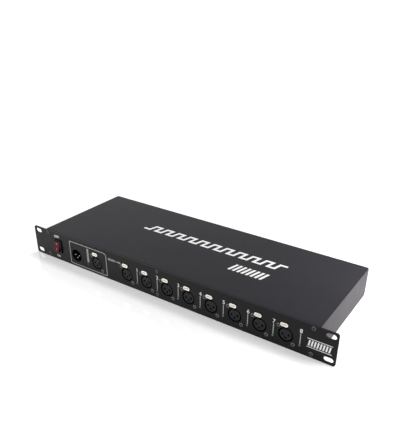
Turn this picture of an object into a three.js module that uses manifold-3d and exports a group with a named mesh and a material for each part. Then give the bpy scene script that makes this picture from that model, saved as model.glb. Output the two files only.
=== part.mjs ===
// Eight-way signal splitter for stage lighting, one 19 inch rack unit high.
// Millimetres, X along the front panel, +Y to the rear, +Z up.
// The origin is the centre of the case's underside.
import * as THREE from "three";
import { mergeVertices } from "three/addons/utils/BufferGeometryUtils.js";
import Module from "manifold-3d";

const wasm = await Module();
wasm.setup();

// Front panel and its ear slots
const panelWidth = 482.6;
const panelHeight = 44;
const panelThickness = 2;
const panelCornerRadius = 3;
const earSlotMargin = 8.75;
const earSlotSpacingZ = 31.75;
const earSlotLength = 12;
const earSlotHeight = 6.8;
const earWidth = 22.3;

// Case of folded sheet
const caseDepth = 159.4;
const sheetThickness = 1.2;
const coverBendRadius = 1.6;
const coverFrontLip = 6.8;
const coverRearLip = 8;
const coverFootGap = 2;
const traySideFlange = 12;
const trayFrontLip = 4.6;
const trayScrewTabHeight = 8.6;
const trayScrewTabWidth = 5.4;
const sheetFitGap = 0.3;

// Panel screws
const screwSideMargin = 7;
const screwTopMargin = 3.7;
const screwLowerZ = 5.4;
const screwHeadRadius = 2.8;
const screwHeadHeight = 1;
const screwHeadChamfer = 0.4;
const screwRecessRadius = 1.2;
const screwRecessDepth = 0.7;
const screwShankRadius = 1.5;
const screwShankLength = 7;
const screwHoleRadius = 1.7;

// Where things stand across the case, as shares of its width from its middle
const switchShare = -0.44;
const inputShare = -0.3546;
const thruShare = -0.263;
const firstOutputShare = -0.1354;
const outputPitchShare = 0.07785;
const signalLampShare = -0.3018;
const inletShare = -0.3425;
const powerBoardShare = -0.3653;

// Heights of the front features, and how many outputs there are
const switchZ = 22.8;
const connectorZ = 18.3;
const outputCount = 8;

// Shares of the distance between two outputs
const flangeShare = 0.3695;
const lampShare = 0.534;

// Socket connectors
const boreRadius = 9.6;
const barrelWall = 1.8;
const barrelDepth = 18;
const barrelFloor = 2;
const flangeThickness = 2;
const flangeCornerRadius = 1.5;
const insertRadius = 7.8;
const insertRecess = 0.4;
const contactHoleRadius = 1.6;
const contactCircleRadius = 4;
const rivetOffsetX = 9.8;
const rivetOffsetZ = 10;
const rivetShankRadius = 1.2;
const rivetHoleRadius = 1.45;
const rivetHeadRadius = 2.6;
const rivetHeadHeight = 0.5;

// Latches of the sockets
const tabLength = 9.9;
const tabHeight = 5.9;
const tabOffsetX = -2.35;
const tabOffsetZ = 13.2;
const tabProud = 1.3;
const tabClearance = 0.3;
const latchTravel = 2;
const latchStopGap = 0.4;
const latchInnerLength = 9;
const latchHousingWall = 1.1;
const latchHookWidth = 2.4;
const latchHookThickness = 1.4;
const latchHookSetback = 4;
const latchHookBite = 1.1;

// Plug connector of the input
const pinRadius = 1.2;
const pinTipRecess = 1.2;
const pinTipChamfer = 0.5;
const pinHoleClearance = 0.06;
const inputInsertThickness = 3;
const inputInsertClearance = 0.25;

// Indicator lamps
const lampZ = 11.5;
const signalLampZ = 12;
const lampRadius = 1.5;
const lampProud = 1.3;
const lampHoleClearance = 0.15;
const lampFlangeRadius = 1.95;
const lampFlangeThickness = 1;
const lampLegWidth = 0.5;
const lampLegSpacing = 2.54;

// Power switch
const bezelWidth = 15;
const bezelHeight = 21;
const bezelProud = 2;
const bezelCornerRadius = 1;
const switchBodyWidth = 12.9;
const switchBodyHeight = 18.9;
const switchBodyDepth = 14;
const switchCutoutClearance = 0.15;
const rockerWidth = 9.9;
const rockerHalfHeight = 7.6;
const rockerSideClearance = 0.35;
const rockerEndClearance = 0.35;
const rockerPivotDepth = 1.5;
const rockerFaceProud = 0.8;
const rockerTiltDegrees = 12;
const rockerInnerDepth = 3;
const rockerInnerHalfHeight = 3;
const rockerShoulderDepth = 1;
const rockerFloorClearance = 0.5;
const trunnionRadius = 1;
const trunnionLength = 0.7;
const trunnionClearance = 0.12;
const terminalWidth = 4.8;
const terminalThickness = 0.8;
const terminalLength = 7;
const terminalSpacing = 5;

// Mains inlet with its fuse drawer
const inletZ = 18.8;
const inletFlangeWidth = 50;
const inletFlangeHeight = 31;
const inletFlangeThickness = 3;
const inletFlangeCorner = 4;
const inletWall = 1.6;
const inletCavityWidth = 24.2;
const inletCavityHeight = 16.2;
const inletCavityCorner = 4.5;
const inletCavityDepth = 16;
const inletFloor = 6;
const inletCutoutClearance = 0.2;
const bladeWidth = 2;
const bladeHeight = 4;
const bladeLength = 13.5;
const bladeSpacing = 7;
const earthBladeRise = 4;
const fuseBayWidth = 23;
const fuseBayHeight = 8;
const fuseBayDepth = 20;
const drawerClearance = 0.25;
const drawerFaceThickness = 1.6;
const drawerFaceMargin = 0.8;
const fuseRadius = 2.6;
const fuseLength = 20;
const fuseGap = 0.15;
const fuseSetback = 2;

// Boards and what stands on them
const boardThickness = 1.6;
const signalBoardLeft = 14;
const signalBoardRight = 22;
const signalBoardBottom = 4;
const signalBoardHeight = 34;
const converterWidth = 19.5;
const converterHeight = 10;
const converterDepth = 7;
const converterZ = 30;
const driverWidth = 9;
const driverHeight = 6.5;
const driverDepth = 3.4;
const driverZ = 15;
const standoffRadius = 3;
const standoffHeight = 6;
const powerBoardWidth = 68;
const powerBoardDepth = 64;
const powerBoardY = -2;
const standoffInset = 5;
const transformerWidth = 32;
const transformerDepth = 27;
const transformerHeight = 24;
const transformerOffsetX = -10;
const transformerOffsetY = 8;
const transformerLamination = 9;
const transformerWinding = 22;
const capacitorRadius = 8;
const capacitorHeight = 22;
const capacitorInsetX = 14;
const capacitorInsetY = 18;
const capacitorRim = 0.8;

// How far a cutting tool runs past what it cuts, and how finely round things are faceted
const overrun = 1;
const boreFacets = 24;
const smallFacets = 8;
const lampFacets = 10;
const screwFacets = 12;
const cornerFacets = 3;
const endFacets = 6;
const cutCornerFacets = 1;
const domeSteps = 3;

const caseWidth = panelWidth - 2 * earWidth;
const caseHeight = panelHeight;
const screwSideX = caseWidth / 2 - screwSideMargin;
const screwUpperZ = caseHeight - screwTopMargin;
const switchX = caseWidth * switchShare;
const inputX = caseWidth * inputShare;
const thruX = caseWidth * thruShare;
const outputPitch = caseWidth * outputPitchShare;
const outputXs = Array.from(
  { length: outputCount },
  (_, i) => caseWidth * firstOutputShare + i * outputPitch,
);
const flangeHalfWidth = outputPitch * flangeShare;
const lampOffsetX = outputPitch * lampShare;
const signalLampX = caseWidth * signalLampShare;
const inletX = caseWidth * inletShare;
const powerBoardX = caseWidth * powerBoardShare;

const panelBackY = -caseDepth / 2;
const panelFrontY = panelBackY - panelThickness;
const caseRearY = caseDepth / 2;
const barrelRearY = panelBackY + barrelDepth;
const boreFloorY = barrelRearY - barrelFloor;
const rearWallOuterY = caseRearY - sheetThickness - sheetFitGap;

const finishes = {
  panelPaint: new THREE.MeshStandardMaterial({ color: 0x2b2b2e, roughness: 0.55, metalness: 0.1 }),
  casePaint: new THREE.MeshStandardMaterial({ color: 0x3f3f43, roughness: 0.6, metalness: 0.1 }),
  blackPlastic: new THREE.MeshStandardMaterial({ color: 0x17171a, roughness: 0.5, metalness: 0 }),
  insertPlastic: new THREE.MeshStandardMaterial({ color: 0x222226, roughness: 0.6, metalness: 0 }),
  plated: new THREE.MeshStandardMaterial({ color: 0xd9d2bd, roughness: 0.3, metalness: 0.8 }),
  screwSteel: new THREE.MeshStandardMaterial({ color: 0x7d6f60, roughness: 0.45, metalness: 0.9 }),
  redPlastic: new THREE.MeshStandardMaterial({ color: 0xa01220, roughness: 0.25, metalness: 0 }),
  redLens: new THREE.MeshStandardMaterial({ color: 0x8f1a22, roughness: 0.2, metalness: 0 }),
  greenLens: new THREE.MeshStandardMaterial({ color: 0x2f8f4a, roughness: 0.2, metalness: 0 }),
  boardGreen: new THREE.MeshStandardMaterial({ color: 0x1f5a34, roughness: 0.5, metalness: 0 }),
  laminations: new THREE.MeshStandardMaterial({ color: 0x6b6b70, roughness: 0.5, metalness: 0.7 }),
  sleeve: new THREE.MeshStandardMaterial({ color: 0x1d2a4a, roughness: 0.4, metalness: 0 }),
  glass: new THREE.MeshStandardMaterial({ color: 0xcfd8d8, roughness: 0.1, metalness: 0 }),
};

// Corners of a circle, counter-clockwise
function circle(centreX, centreZ, radius, facets) {
  return Array.from({ length: facets }, (_, i) => {
    const angle = (2 * Math.PI * (i + 0.5)) / facets;
    return new THREE.Vector2(
      centreX + radius * Math.cos(angle),
      centreZ + radius * Math.sin(angle),
    );
  });
}

// Corners of a rectangle whose corners are rounded, or cut straight with one facet
function roundedRectangle(centreX, centreZ, width, height, radius, facets) {
  const corners = [[1, 1], [-1, 1], [-1, -1], [1, -1]];
  return corners.flatMap(([sideX, sideZ], quarter) =>
    Array.from({ length: facets + 1 }, (_, i) => {
      const angle = (Math.PI / 2) * (quarter + i / facets);
      return new THREE.Vector2(
        centreX + sideX * (width / 2 - radius) + radius * Math.cos(angle),
        centreZ + sideZ * (height / 2 - radius) + radius * Math.sin(angle),
      );
    }),
  );
}

// Corners of a plain rectangle from its lowest and highest corner
function rectangle(lowX, lowZ, highX, highZ) {
  return [
    new THREE.Vector2(lowX, lowZ),
    new THREE.Vector2(highX, lowZ),
    new THREE.Vector2(highX, highZ),
    new THREE.Vector2(lowX, highZ),
  ];
}

// Corners of a slot with round ends, lying along X
function slot(centreX, centreZ, length, height) {
  const radius = height / 2;
  return [1, -1].flatMap((side) =>
    Array.from({ length: endFacets + 1 }, (_, i) => {
      const angle = Math.PI * (i / endFacets - side / 2);
      return new THREE.Vector2(
        centreX + side * (length / 2 - radius) + radius * Math.cos(angle),
        centreZ + radius * Math.sin(angle),
      );
    }),
  );
}

function extrusion(outline, holes, depth) {
  const shape = new THREE.Shape(outline);
  shape.holes = holes.map((hole) => new THREE.Path(hole));
  return new THREE.ExtrudeGeometry(shape, { depth, bevelEnabled: false });
}

// A plate that faces the front: its outline lies in X and Z
function frontPlate(outline, holes, frontY, rearY) {
  const basis = new THREE.Matrix4().makeBasis(
    new THREE.Vector3(1, 0, 0),
    new THREE.Vector3(0, 0, 1),
    new THREE.Vector3(0, -1, 0),
  );
  return extrusion(outline, holes, rearY - frontY)
    .applyMatrix4(basis)
    .translate(0, rearY, 0);
}

// A bar along X: its outline lies in Y and Z
function crossBar(outline, lowX, highX) {
  const basis = new THREE.Matrix4().makeBasis(
    new THREE.Vector3(0, 1, 0),
    new THREE.Vector3(0, 0, 1),
    new THREE.Vector3(1, 0, 0),
  );
  return extrusion(outline, [], highX - lowX)
    .applyMatrix4(basis)
    .translate(lowX, 0, 0);
}

// An upright: its outline lies in X and Y
function upright(outline, lowZ, highZ) {
  return extrusion(outline, [], highZ - lowZ).translate(0, 0, lowZ);
}

function block(lowX, lowY, lowZ, highX, highY, highZ) {
  return upright(rectangle(lowX, lowY, highX, highY), lowZ, highZ);
}

// A turned piece about an axis along Y: its profile gives radius and place along Y, from front to rear
function turned(profile, centreX, centreZ, facets) {
  const points = profile.map(([radius, y]) => new THREE.Vector2(radius, y));
  return new THREE.LatheGeometry(points, facets).translate(centreX, 0, centreZ);
}

function solidFrom(geometry) {
  const bare = new THREE.BufferGeometry();
  bare.setAttribute("position", geometry.getAttribute("position"));
  bare.setIndex(geometry.getIndex());
  const merged = mergeVertices(bare);
  return new wasm.Manifold(
    new wasm.Mesh({
      numProp: 3,
      vertProperties: merged.getAttribute("position").array,
      triVerts: new Uint32Array(merged.getIndex().array),
    }),
  );
}

// One geometry from pieces that are joined, less the tools that cut it
function combine(pieces, tools = []) {
  let solid = pieces.map(solidFrom).reduce((whole, next) => whole.add(next));
  for (const tool of tools) {
    solid = solid.subtract(solidFrom(tool));
  }
  const { vertProperties, triVerts } = solid.getMesh();
  const geometry = new THREE.BufferGeometry();
  geometry.setAttribute("position", new THREE.BufferAttribute(vertProperties, 3));
  geometry.setIndex(new THREE.BufferAttribute(triVerts, 1));
  return geometry;
}

const splitter = new THREE.Group();

function addPiece(group, name, geometry, finish) {
  const mesh = new THREE.Mesh(geometry, finish);
  mesh.name = name;
  group.add(mesh);
  return mesh;
}

const socketXs = [thruX, ...outputXs];
const middleScrewX = outputXs[1] + lampOffsetX;
const screwXs = { left: -screwSideX, middle: middleScrewX, right: screwSideX };
const lampPlaces = [
  { name: "signal_led", x: signalLampX, z: signalLampZ, finish: finishes.redLens },
  ...outputXs.map((x, i) => ({
    name: `output_led_${i + 1}`,
    x: x + lampOffsetX,
    z: lampZ,
    finish: finishes.greenLens,
  })),
];
const rivetSides = [[-1, 1], [1, -1]];

function rivetPlaces(centreX) {
  return rivetSides.map(([sideX, sideZ]) => [
    centreX + sideX * rivetOffsetX,
    connectorZ + sideZ * rivetOffsetZ,
  ]);
}

// Front panel: a plate with every opening cut through
function panelGeometry() {
  const middleZ = panelHeight / 2;
  const outline = roundedRectangle(
    0, middleZ, panelWidth, panelHeight, panelCornerRadius, cornerFacets,
  );
  const earSlots = [-1, 1].flatMap((sideX) =>
    [-1, 1].map((sideZ) =>
      slot(
        sideX * (panelWidth / 2 - earSlotMargin),
        middleZ + (sideZ * earSlotSpacingZ) / 2,
        earSlotLength,
        earSlotHeight,
      ),
    ),
  );
  const switchCutout = rectangle(
    switchX - switchBodyWidth / 2 - switchCutoutClearance,
    switchZ - switchBodyHeight / 2 - switchCutoutClearance,
    switchX + switchBodyWidth / 2 + switchCutoutClearance,
    switchZ + switchBodyHeight / 2 + switchCutoutClearance,
  );
  const connectorXs = [inputX, ...socketXs];
  const bores = connectorXs.map((x) => circle(x, connectorZ, boreRadius, boreFacets));
  const tabSlots = socketXs.map((x) => tabOutline(x, tabClearance));
  const rivetHoles = connectorXs
    .flatMap(rivetPlaces)
    .map(([x, z]) => circle(x, z, rivetHoleRadius, smallFacets));
  const lampHoles = lampPlaces.map(({ x, z }) =>
    circle(x, z, lampRadius + lampHoleClearance, lampFacets),
  );
  const screwHoles = Object.values(screwXs).flatMap((x) =>
    [screwLowerZ, screwUpperZ].map((z) => circle(x, z, screwHoleRadius, smallFacets)),
  );
  return frontPlate(
    outline,
    [...earSlots, switchCutout, ...bores, ...tabSlots, ...rivetHoles, ...lampHoles, ...screwHoles],
    panelFrontY,
    panelBackY,
  );
}

// Top cover: one sheet folded down at both sides, with a lip at the front and the rear
function coverGeometry() {
  const half = caseWidth / 2;
  const outer = roundedRectangle(
    0, caseHeight / 2, caseWidth, caseHeight, coverBendRadius, cornerFacets,
  ).slice(0, 2 * (cornerFacets + 1));
  const inner = roundedRectangle(
    0,
    caseHeight / 2,
    caseWidth - 2 * sheetThickness,
    caseHeight - 2 * sheetThickness,
    coverBendRadius - sheetThickness,
    cornerFacets,
  ).slice(0, 2 * (cornerFacets + 1));
  const outline = [
    new THREE.Vector2(half, coverFootGap),
    ...outer,
    new THREE.Vector2(-half, coverFootGap),
    new THREE.Vector2(-half + sheetThickness, coverFootGap),
    ...inner.reverse(),
    new THREE.Vector2(half - sheetThickness, coverFootGap),
  ];
  const folded = frontPlate(outline, [], panelBackY, caseRearY);
  const lipHalf = half - sheetThickness / 2;
  const lipTop = caseHeight - sheetThickness / 2;
  const frontLip = frontPlate(
    rectangle(-lipHalf, caseHeight - coverFrontLip, lipHalf, lipTop),
    Object.values(screwXs).map((x) => circle(x, screwUpperZ, screwHoleRadius, smallFacets)),
    panelBackY,
    panelBackY + sheetThickness,
  );
  const rearLip = frontPlate(
    rectangle(-lipHalf, caseHeight - coverRearLip, lipHalf, lipTop),
    [],
    caseRearY - sheetThickness,
    caseRearY,
  );
  return combine([folded, frontLip, rearLip]);
}

const inletBodyWidth = Math.max(inletCavityWidth, fuseBayWidth) + 2 * inletWall;
const inletBodyHeight = inletCavityHeight + fuseBayHeight + 3 * inletWall;
const inletBodyBottomZ = inletZ - inletBodyHeight / 2;
const fuseBayCentreZ = inletBodyBottomZ + inletWall + fuseBayHeight / 2;
const inletCavityCentreZ = inletBodyBottomZ + inletBodyHeight - inletWall - inletCavityHeight / 2;
const inletFlangeRearY = rearWallOuterY + inletFlangeThickness;
const powerBoardBottomZ = sheetThickness + standoffHeight;
const powerBoardTopZ = powerBoardBottomZ + boardThickness;

// Chassis tray: bottom with side flanges, a front lip with screw tabs, the rear wall and four standoffs
function trayGeometry() {
  const half = caseWidth / 2 - sheetThickness - sheetFitGap;
  const wallTop = caseHeight - sheetThickness - sheetFitGap;
  const bottom = frontPlate(
    [
      new THREE.Vector2(half, 0),
      new THREE.Vector2(half, traySideFlange),
      new THREE.Vector2(half - sheetThickness, traySideFlange),
      new THREE.Vector2(half - sheetThickness, sheetThickness),
      new THREE.Vector2(-half + sheetThickness, sheetThickness),
      new THREE.Vector2(-half + sheetThickness, traySideFlange),
      new THREE.Vector2(-half, traySideFlange),
      new THREE.Vector2(-half, 0),
    ],
    [],
    panelBackY,
    rearWallOuterY,
  );
  const lipOutline = [
    new THREE.Vector2(-half, 0),
    new THREE.Vector2(half, 0),
    new THREE.Vector2(half, trayFrontLip),
    ...Object.values(screwXs)
      .reverse()
      .flatMap((x) => [
        new THREE.Vector2(x + trayScrewTabWidth / 2, trayFrontLip),
        new THREE.Vector2(x + trayScrewTabWidth / 2, trayScrewTabHeight),
        new THREE.Vector2(x - trayScrewTabWidth / 2, trayScrewTabHeight),
        new THREE.Vector2(x - trayScrewTabWidth / 2, trayFrontLip),
      ]),
    new THREE.Vector2(-half, trayFrontLip),
  ];
  const frontLip = frontPlate(
    lipOutline,
    Object.values(screwXs).map((x) => circle(x, screwLowerZ, screwHoleRadius, smallFacets)),
    panelBackY,
    panelBackY + sheetThickness,
  );
  const rearWall = frontPlate(
    rectangle(-half, 0, half, wallTop),
    [
      rectangle(
        inletX - inletBodyWidth / 2 - inletCutoutClearance,
        inletBodyBottomZ - inletCutoutClearance,
        inletX + inletBodyWidth / 2 + inletCutoutClearance,
        inletBodyBottomZ + inletBodyHeight + inletCutoutClearance,
      ),
    ],
    rearWallOuterY - sheetThickness,
    rearWallOuterY,
  );
  const standoffs = [-1, 1].flatMap((sideX) =>
    [-1, 1].map((sideY) =>
      upright(
        circle(
          powerBoardX + sideX * (powerBoardWidth / 2 - standoffInset),
          powerBoardY + sideY * (powerBoardDepth / 2 - standoffInset),
          standoffRadius,
          smallFacets,
        ),
        sheetThickness / 2,
        powerBoardBottomZ,
      ),
    ),
  );
  return combine([bottom, frontLip, rearWall, ...standoffs]);
}

// Pan head screw with a recess, its head on the panel
function screwGeometry(x, z) {
  const headFrontY = panelFrontY - screwHeadHeight;
  return turned(
    [
      [0, headFrontY + screwRecessDepth],
      [screwRecessRadius, headFrontY + screwRecessDepth],
      [screwRecessRadius, headFrontY],
      [screwHeadRadius - screwHeadChamfer, headFrontY],
      [screwHeadRadius, headFrontY + screwHeadChamfer],
      [screwHeadRadius, panelFrontY],
      [screwShankRadius, panelFrontY],
      [screwShankRadius, panelFrontY + screwShankLength],
      [0, panelFrontY + screwShankLength],
    ],
    x,
    z,
    screwFacets,
  );
}

// Latch outline: a slot shape above the bore, a little off its centre
function tabOutline(centreX, clearance) {
  return slot(
    centreX + tabOffsetX,
    connectorZ + tabOffsetZ,
    tabLength + 2 * clearance,
    tabHeight + 2 * clearance,
  );
}

function rivetPieces(centreX) {
  return rivetPlaces(centreX).map(([x, z]) =>
    turned(
      [
        [0, panelFrontY - rivetHeadHeight],
        [rivetHeadRadius, panelFrontY - rivetHeadHeight],
        [rivetHeadRadius, panelFrontY],
        [rivetShankRadius, panelFrontY],
        [rivetShankRadius, panelBackY + flangeThickness / 2],
        [0, panelBackY + flangeThickness / 2],
      ],
      x,
      z,
      smallFacets,
    ),
  );
}

const latchChannelDepth = latchInnerLength + latchTravel + latchStopGap;
const latchHookFrontY = panelBackY + latchHookSetback;
const latchHookTipZ = connectorZ + boreRadius - latchHookBite;

// Socket shell: a flange behind the panel, the barrel round the bore, and the latch's housing above it
function socketShellGeometry(centreX) {
  const housingTop = tabOffsetZ + tabHeight / 2 + tabClearance + latchHousingWall;
  const flange = frontPlate(
    roundedRectangle(
      centreX,
      connectorZ + (housingTop - flangeHalfWidth) / 2,
      2 * flangeHalfWidth,
      flangeHalfWidth + housingTop,
      flangeCornerRadius,
      cutCornerFacets,
    ),
    [],
    panelBackY,
    panelBackY + flangeThickness,
  );
  const barrel = frontPlate(
    circle(centreX, connectorZ, boreRadius + barrelWall, boreFacets),
    [],
    panelBackY,
    barrelRearY,
  );
  const housingHalf = tabLength / 2 + tabClearance + latchHousingWall;
  const housing = frontPlate(
    rectangle(
      centreX + tabOffsetX - housingHalf,
      connectorZ + boreRadius / 2,
      centreX + tabOffsetX + housingHalf,
      connectorZ + housingTop,
    ),
    [],
    panelBackY,
    barrelRearY,
  );
  const bore = frontPlate(
    circle(centreX, connectorZ, boreRadius, boreFacets),
    [],
    panelBackY - overrun,
    boreFloorY,
  );
  const channel = frontPlate(
    tabOutline(centreX, tabClearance),
    [],
    panelBackY - overrun,
    panelBackY + latchChannelDepth,
  );
  const hookWindow = block(
    centreX - latchHookWidth / 2 - tabClearance,
    latchHookFrontY - tabClearance,
    connectorZ + boreRadius - latchHookBite,
    centreX + latchHookWidth / 2 + tabClearance,
    latchHookFrontY + latchHookThickness + latchTravel + latchStopGap,
    connectorZ + tabOffsetZ,
  );
  return combine([flange, barrel, housing, ...rivetPieces(centreX)], [bore, channel, hookWindow]);
}

// Insert of a socket: a plug of plastic with three contact holes
function socketInsertGeometry(centreX) {
  return frontPlate(
    circle(centreX, connectorZ, insertRadius, boreFacets),
    contactPlaces(centreX).map(([x, z]) => circle(x, z, contactHoleRadius, smallFacets)),
    panelFrontY + insertRecess,
    boreFloorY,
  );
}

// The three contacts: left, right and bottom of a circle round the bore's axis
function contactPlaces(centreX) {
  return [[-1, 0], [1, 0], [0, -1]].map(([sideX, sideZ]) => [
    centreX + sideX * contactCircleRadius,
    connectorZ + sideZ * contactCircleRadius,
  ]);
}

// Latch: the push tab, its slide in the housing, and the hook that reaches into the bore
function latchGeometry(centreX) {
  const slide = frontPlate(
    tabOutline(centreX, 0),
    [],
    panelFrontY - tabProud,
    panelBackY + latchInnerLength,
  );
  const hook = block(
    centreX - latchHookWidth / 2,
    latchHookFrontY,
    latchHookTipZ,
    centreX + latchHookWidth / 2,
    latchHookFrontY + latchHookThickness,
    connectorZ + tabOffsetZ,
  );
  return combine([slide, hook]);
}

function addSocket(group, name, centreX) {
  addPiece(group, `${name}_shell`, socketShellGeometry(centreX), finishes.blackPlastic);
  addPiece(group, `${name}_insert`, socketInsertGeometry(centreX), finishes.insertPlastic);
  addPiece(group, `${name}_latch`, latchGeometry(centreX), finishes.plated);
}

// Input connector: a shell with a deep well, the insert on its floor and three pins
function inputShellGeometry() {
  const flange = frontPlate(
    roundedRectangle(
      inputX,
      connectorZ,
      2 * flangeHalfWidth,
      2 * flangeHalfWidth,
      flangeCornerRadius,
      cutCornerFacets,
    ),
    [],
    panelBackY,
    panelBackY + flangeThickness,
  );
  const barrel = frontPlate(
    circle(inputX, connectorZ, boreRadius + barrelWall, boreFacets),
    [],
    panelBackY,
    barrelRearY,
  );
  const bore = frontPlate(
    circle(inputX, connectorZ, boreRadius, boreFacets),
    [],
    panelBackY - overrun,
    boreFloorY,
  );
  return combine([flange, barrel, ...rivetPieces(inputX)], [bore]);
}

function inputInsertGeometry() {
  return frontPlate(
    circle(inputX, connectorZ, boreRadius - inputInsertClearance, boreFacets),
    contactPlaces(inputX).map(([x, z]) =>
      circle(x, z, pinRadius + pinHoleClearance, lampFacets),
    ),
    boreFloorY - inputInsertThickness,
    boreFloorY,
  );
}

function pinGeometry(x, z) {
  const tipY = panelFrontY + pinTipRecess;
  return frontPlate(circle(x, z, pinRadius, lampFacets), [], tipY + pinTipChamfer, boreFloorY);
}

function pinWithTip(x, z) {
  const tipY = panelFrontY + pinTipRecess;
  const tip = turned(
    [
      [0, tipY],
      [pinRadius - pinTipChamfer, tipY],
      [pinRadius - pinHoleClearance, tipY + pinTipChamfer],
      [pinRadius - pinHoleClearance, tipY + 2 * pinTipChamfer],
      [0, tipY + 2 * pinTipChamfer],
    ],
    x,
    z,
    lampFacets,
  );
  return combine([pinGeometry(x, z), tip]);
}

function addInput(group) {
  addPiece(group, "input_shell", inputShellGeometry(), finishes.blackPlastic);
  addPiece(group, "input_insert", inputInsertGeometry(), finishes.insertPlastic);
  contactPlaces(inputX).forEach(([x, z], i) =>
    addPiece(group, `input_pin_${i + 1}`, pinWithTip(x, z), finishes.plated),
  );
}

// Lamp: a domed lens through the panel, its flange behind it, and two legs to the board
function lampGeometry(x, z) {
  const flangeRearY = panelBackY + lampFlangeThickness;
  const dome = Array.from({ length: domeSteps }, (_, i) => {
    const angle = ((Math.PI / 2) * i) / domeSteps;
    return [
      lampRadius * Math.sin(angle),
      panelFrontY - lampProud + lampProud * (1 - Math.cos(angle)),
    ];
  });
  const lens = turned(
    [
      ...dome,
      [lampRadius, panelFrontY],
      [lampRadius, panelBackY],
      [lampFlangeRadius, panelBackY],
      [lampFlangeRadius, flangeRearY],
      [0, flangeRearY],
    ],
    x,
    z,
    lampFacets,
  );
  const legs = [-1, 1].map((side) =>
    block(
      x + (side * lampLegSpacing) / 2 - lampLegWidth / 2,
      flangeRearY - lampFlangeThickness / 2,
      z - lampLegWidth / 2,
      x + (side * lampLegSpacing) / 2 + lampLegWidth / 2,
      barrelRearY,
      z + lampLegWidth / 2,
    ),
  );
  return combine([lens, ...legs]);
}

// Switch places that its housing and rocker share
const pivotY = panelFrontY - bezelProud + rockerPivotDepth;
const rockerTilt = THREE.MathUtils.degToRad(rockerTiltDegrees);
const rockerValley = (rockerPivotDepth + rockerFaceProud) / Math.cos(rockerTilt);
const rockerCrest = rockerValley + rockerHalfHeight * Math.tan(rockerTilt);
const rockerReach = Math.hypot(rockerCrest, rockerHalfHeight);
const rockerInnerReach = Math.hypot(rockerInnerDepth, rockerInnerHalfHeight);
const openingHalfHeight = rockerReach + rockerEndClearance;
const openingHalfWidth = rockerWidth / 2 + rockerSideClearance;
const cavityFloorY = pivotY + rockerInnerReach + rockerFloorClearance;

// A round bar along X through the rocker's pivot
function pivotBar(radius, halfLength) {
  return crossBar(
    circle(pivotY, switchZ, radius, screwFacets),
    switchX - halfLength,
    switchX + halfLength,
  );
}

function switchHousingGeometry() {
  const opening = rectangle(
    switchX - openingHalfWidth,
    switchZ - openingHalfHeight,
    switchX + openingHalfWidth,
    switchZ + openingHalfHeight,
  );
  const bezel = frontPlate(
    roundedRectangle(switchX, switchZ, bezelWidth, bezelHeight, bezelCornerRadius, cornerFacets),
    [opening],
    panelFrontY - bezelProud,
    panelFrontY,
  );
  const bodyOutline = rectangle(
    switchX - switchBodyWidth / 2,
    switchZ - switchBodyHeight / 2,
    switchX + switchBodyWidth / 2,
    switchZ + switchBodyHeight / 2,
  );
  const sleeve = frontPlate(bodyOutline, [opening], panelFrontY, cavityFloorY);
  const bodyRearY = panelFrontY + switchBodyDepth;
  const body = frontPlate(bodyOutline, [], cavityFloorY, bodyRearY);
  const terminals = [-1, 0, 1].map((step) =>
    block(
      switchX - terminalWidth / 2,
      bodyRearY - overrun,
      switchZ + step * terminalSpacing - terminalThickness / 2,
      switchX + terminalWidth / 2,
      bodyRearY + terminalLength,
      switchZ + step * terminalSpacing + terminalThickness / 2,
    ),
  );
  const sockets = pivotBar(
    trunnionRadius + trunnionClearance,
    rockerWidth / 2 + trunnionLength + trunnionClearance,
  );
  return combine([bezel, sleeve, body, ...terminals], [sockets]);
}

// Rocker: two flat faces that meet in a valley, tipped so that its upper half is pressed in
function rockerGeometry() {
  const profile = [
    [-rockerValley, 0],
    [-rockerCrest, -rockerHalfHeight],
    [rockerShoulderDepth, -rockerHalfHeight],
    [rockerInnerDepth, -rockerInnerHalfHeight],
    [rockerInnerDepth, rockerInnerHalfHeight],
    [rockerShoulderDepth, rockerHalfHeight],
    [-rockerCrest, rockerHalfHeight],
  ];
  const tipped = profile.map(
    ([y, z]) =>
      new THREE.Vector2(
        pivotY + y * Math.cos(rockerTilt) + z * Math.sin(rockerTilt),
        switchZ - y * Math.sin(rockerTilt) + z * Math.cos(rockerTilt),
      ),
  );
  const rocker = crossBar(tipped, switchX - rockerWidth / 2, switchX + rockerWidth / 2);
  return combine([rocker, pivotBar(trunnionRadius, rockerWidth / 2 + trunnionLength)]);
}

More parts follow.
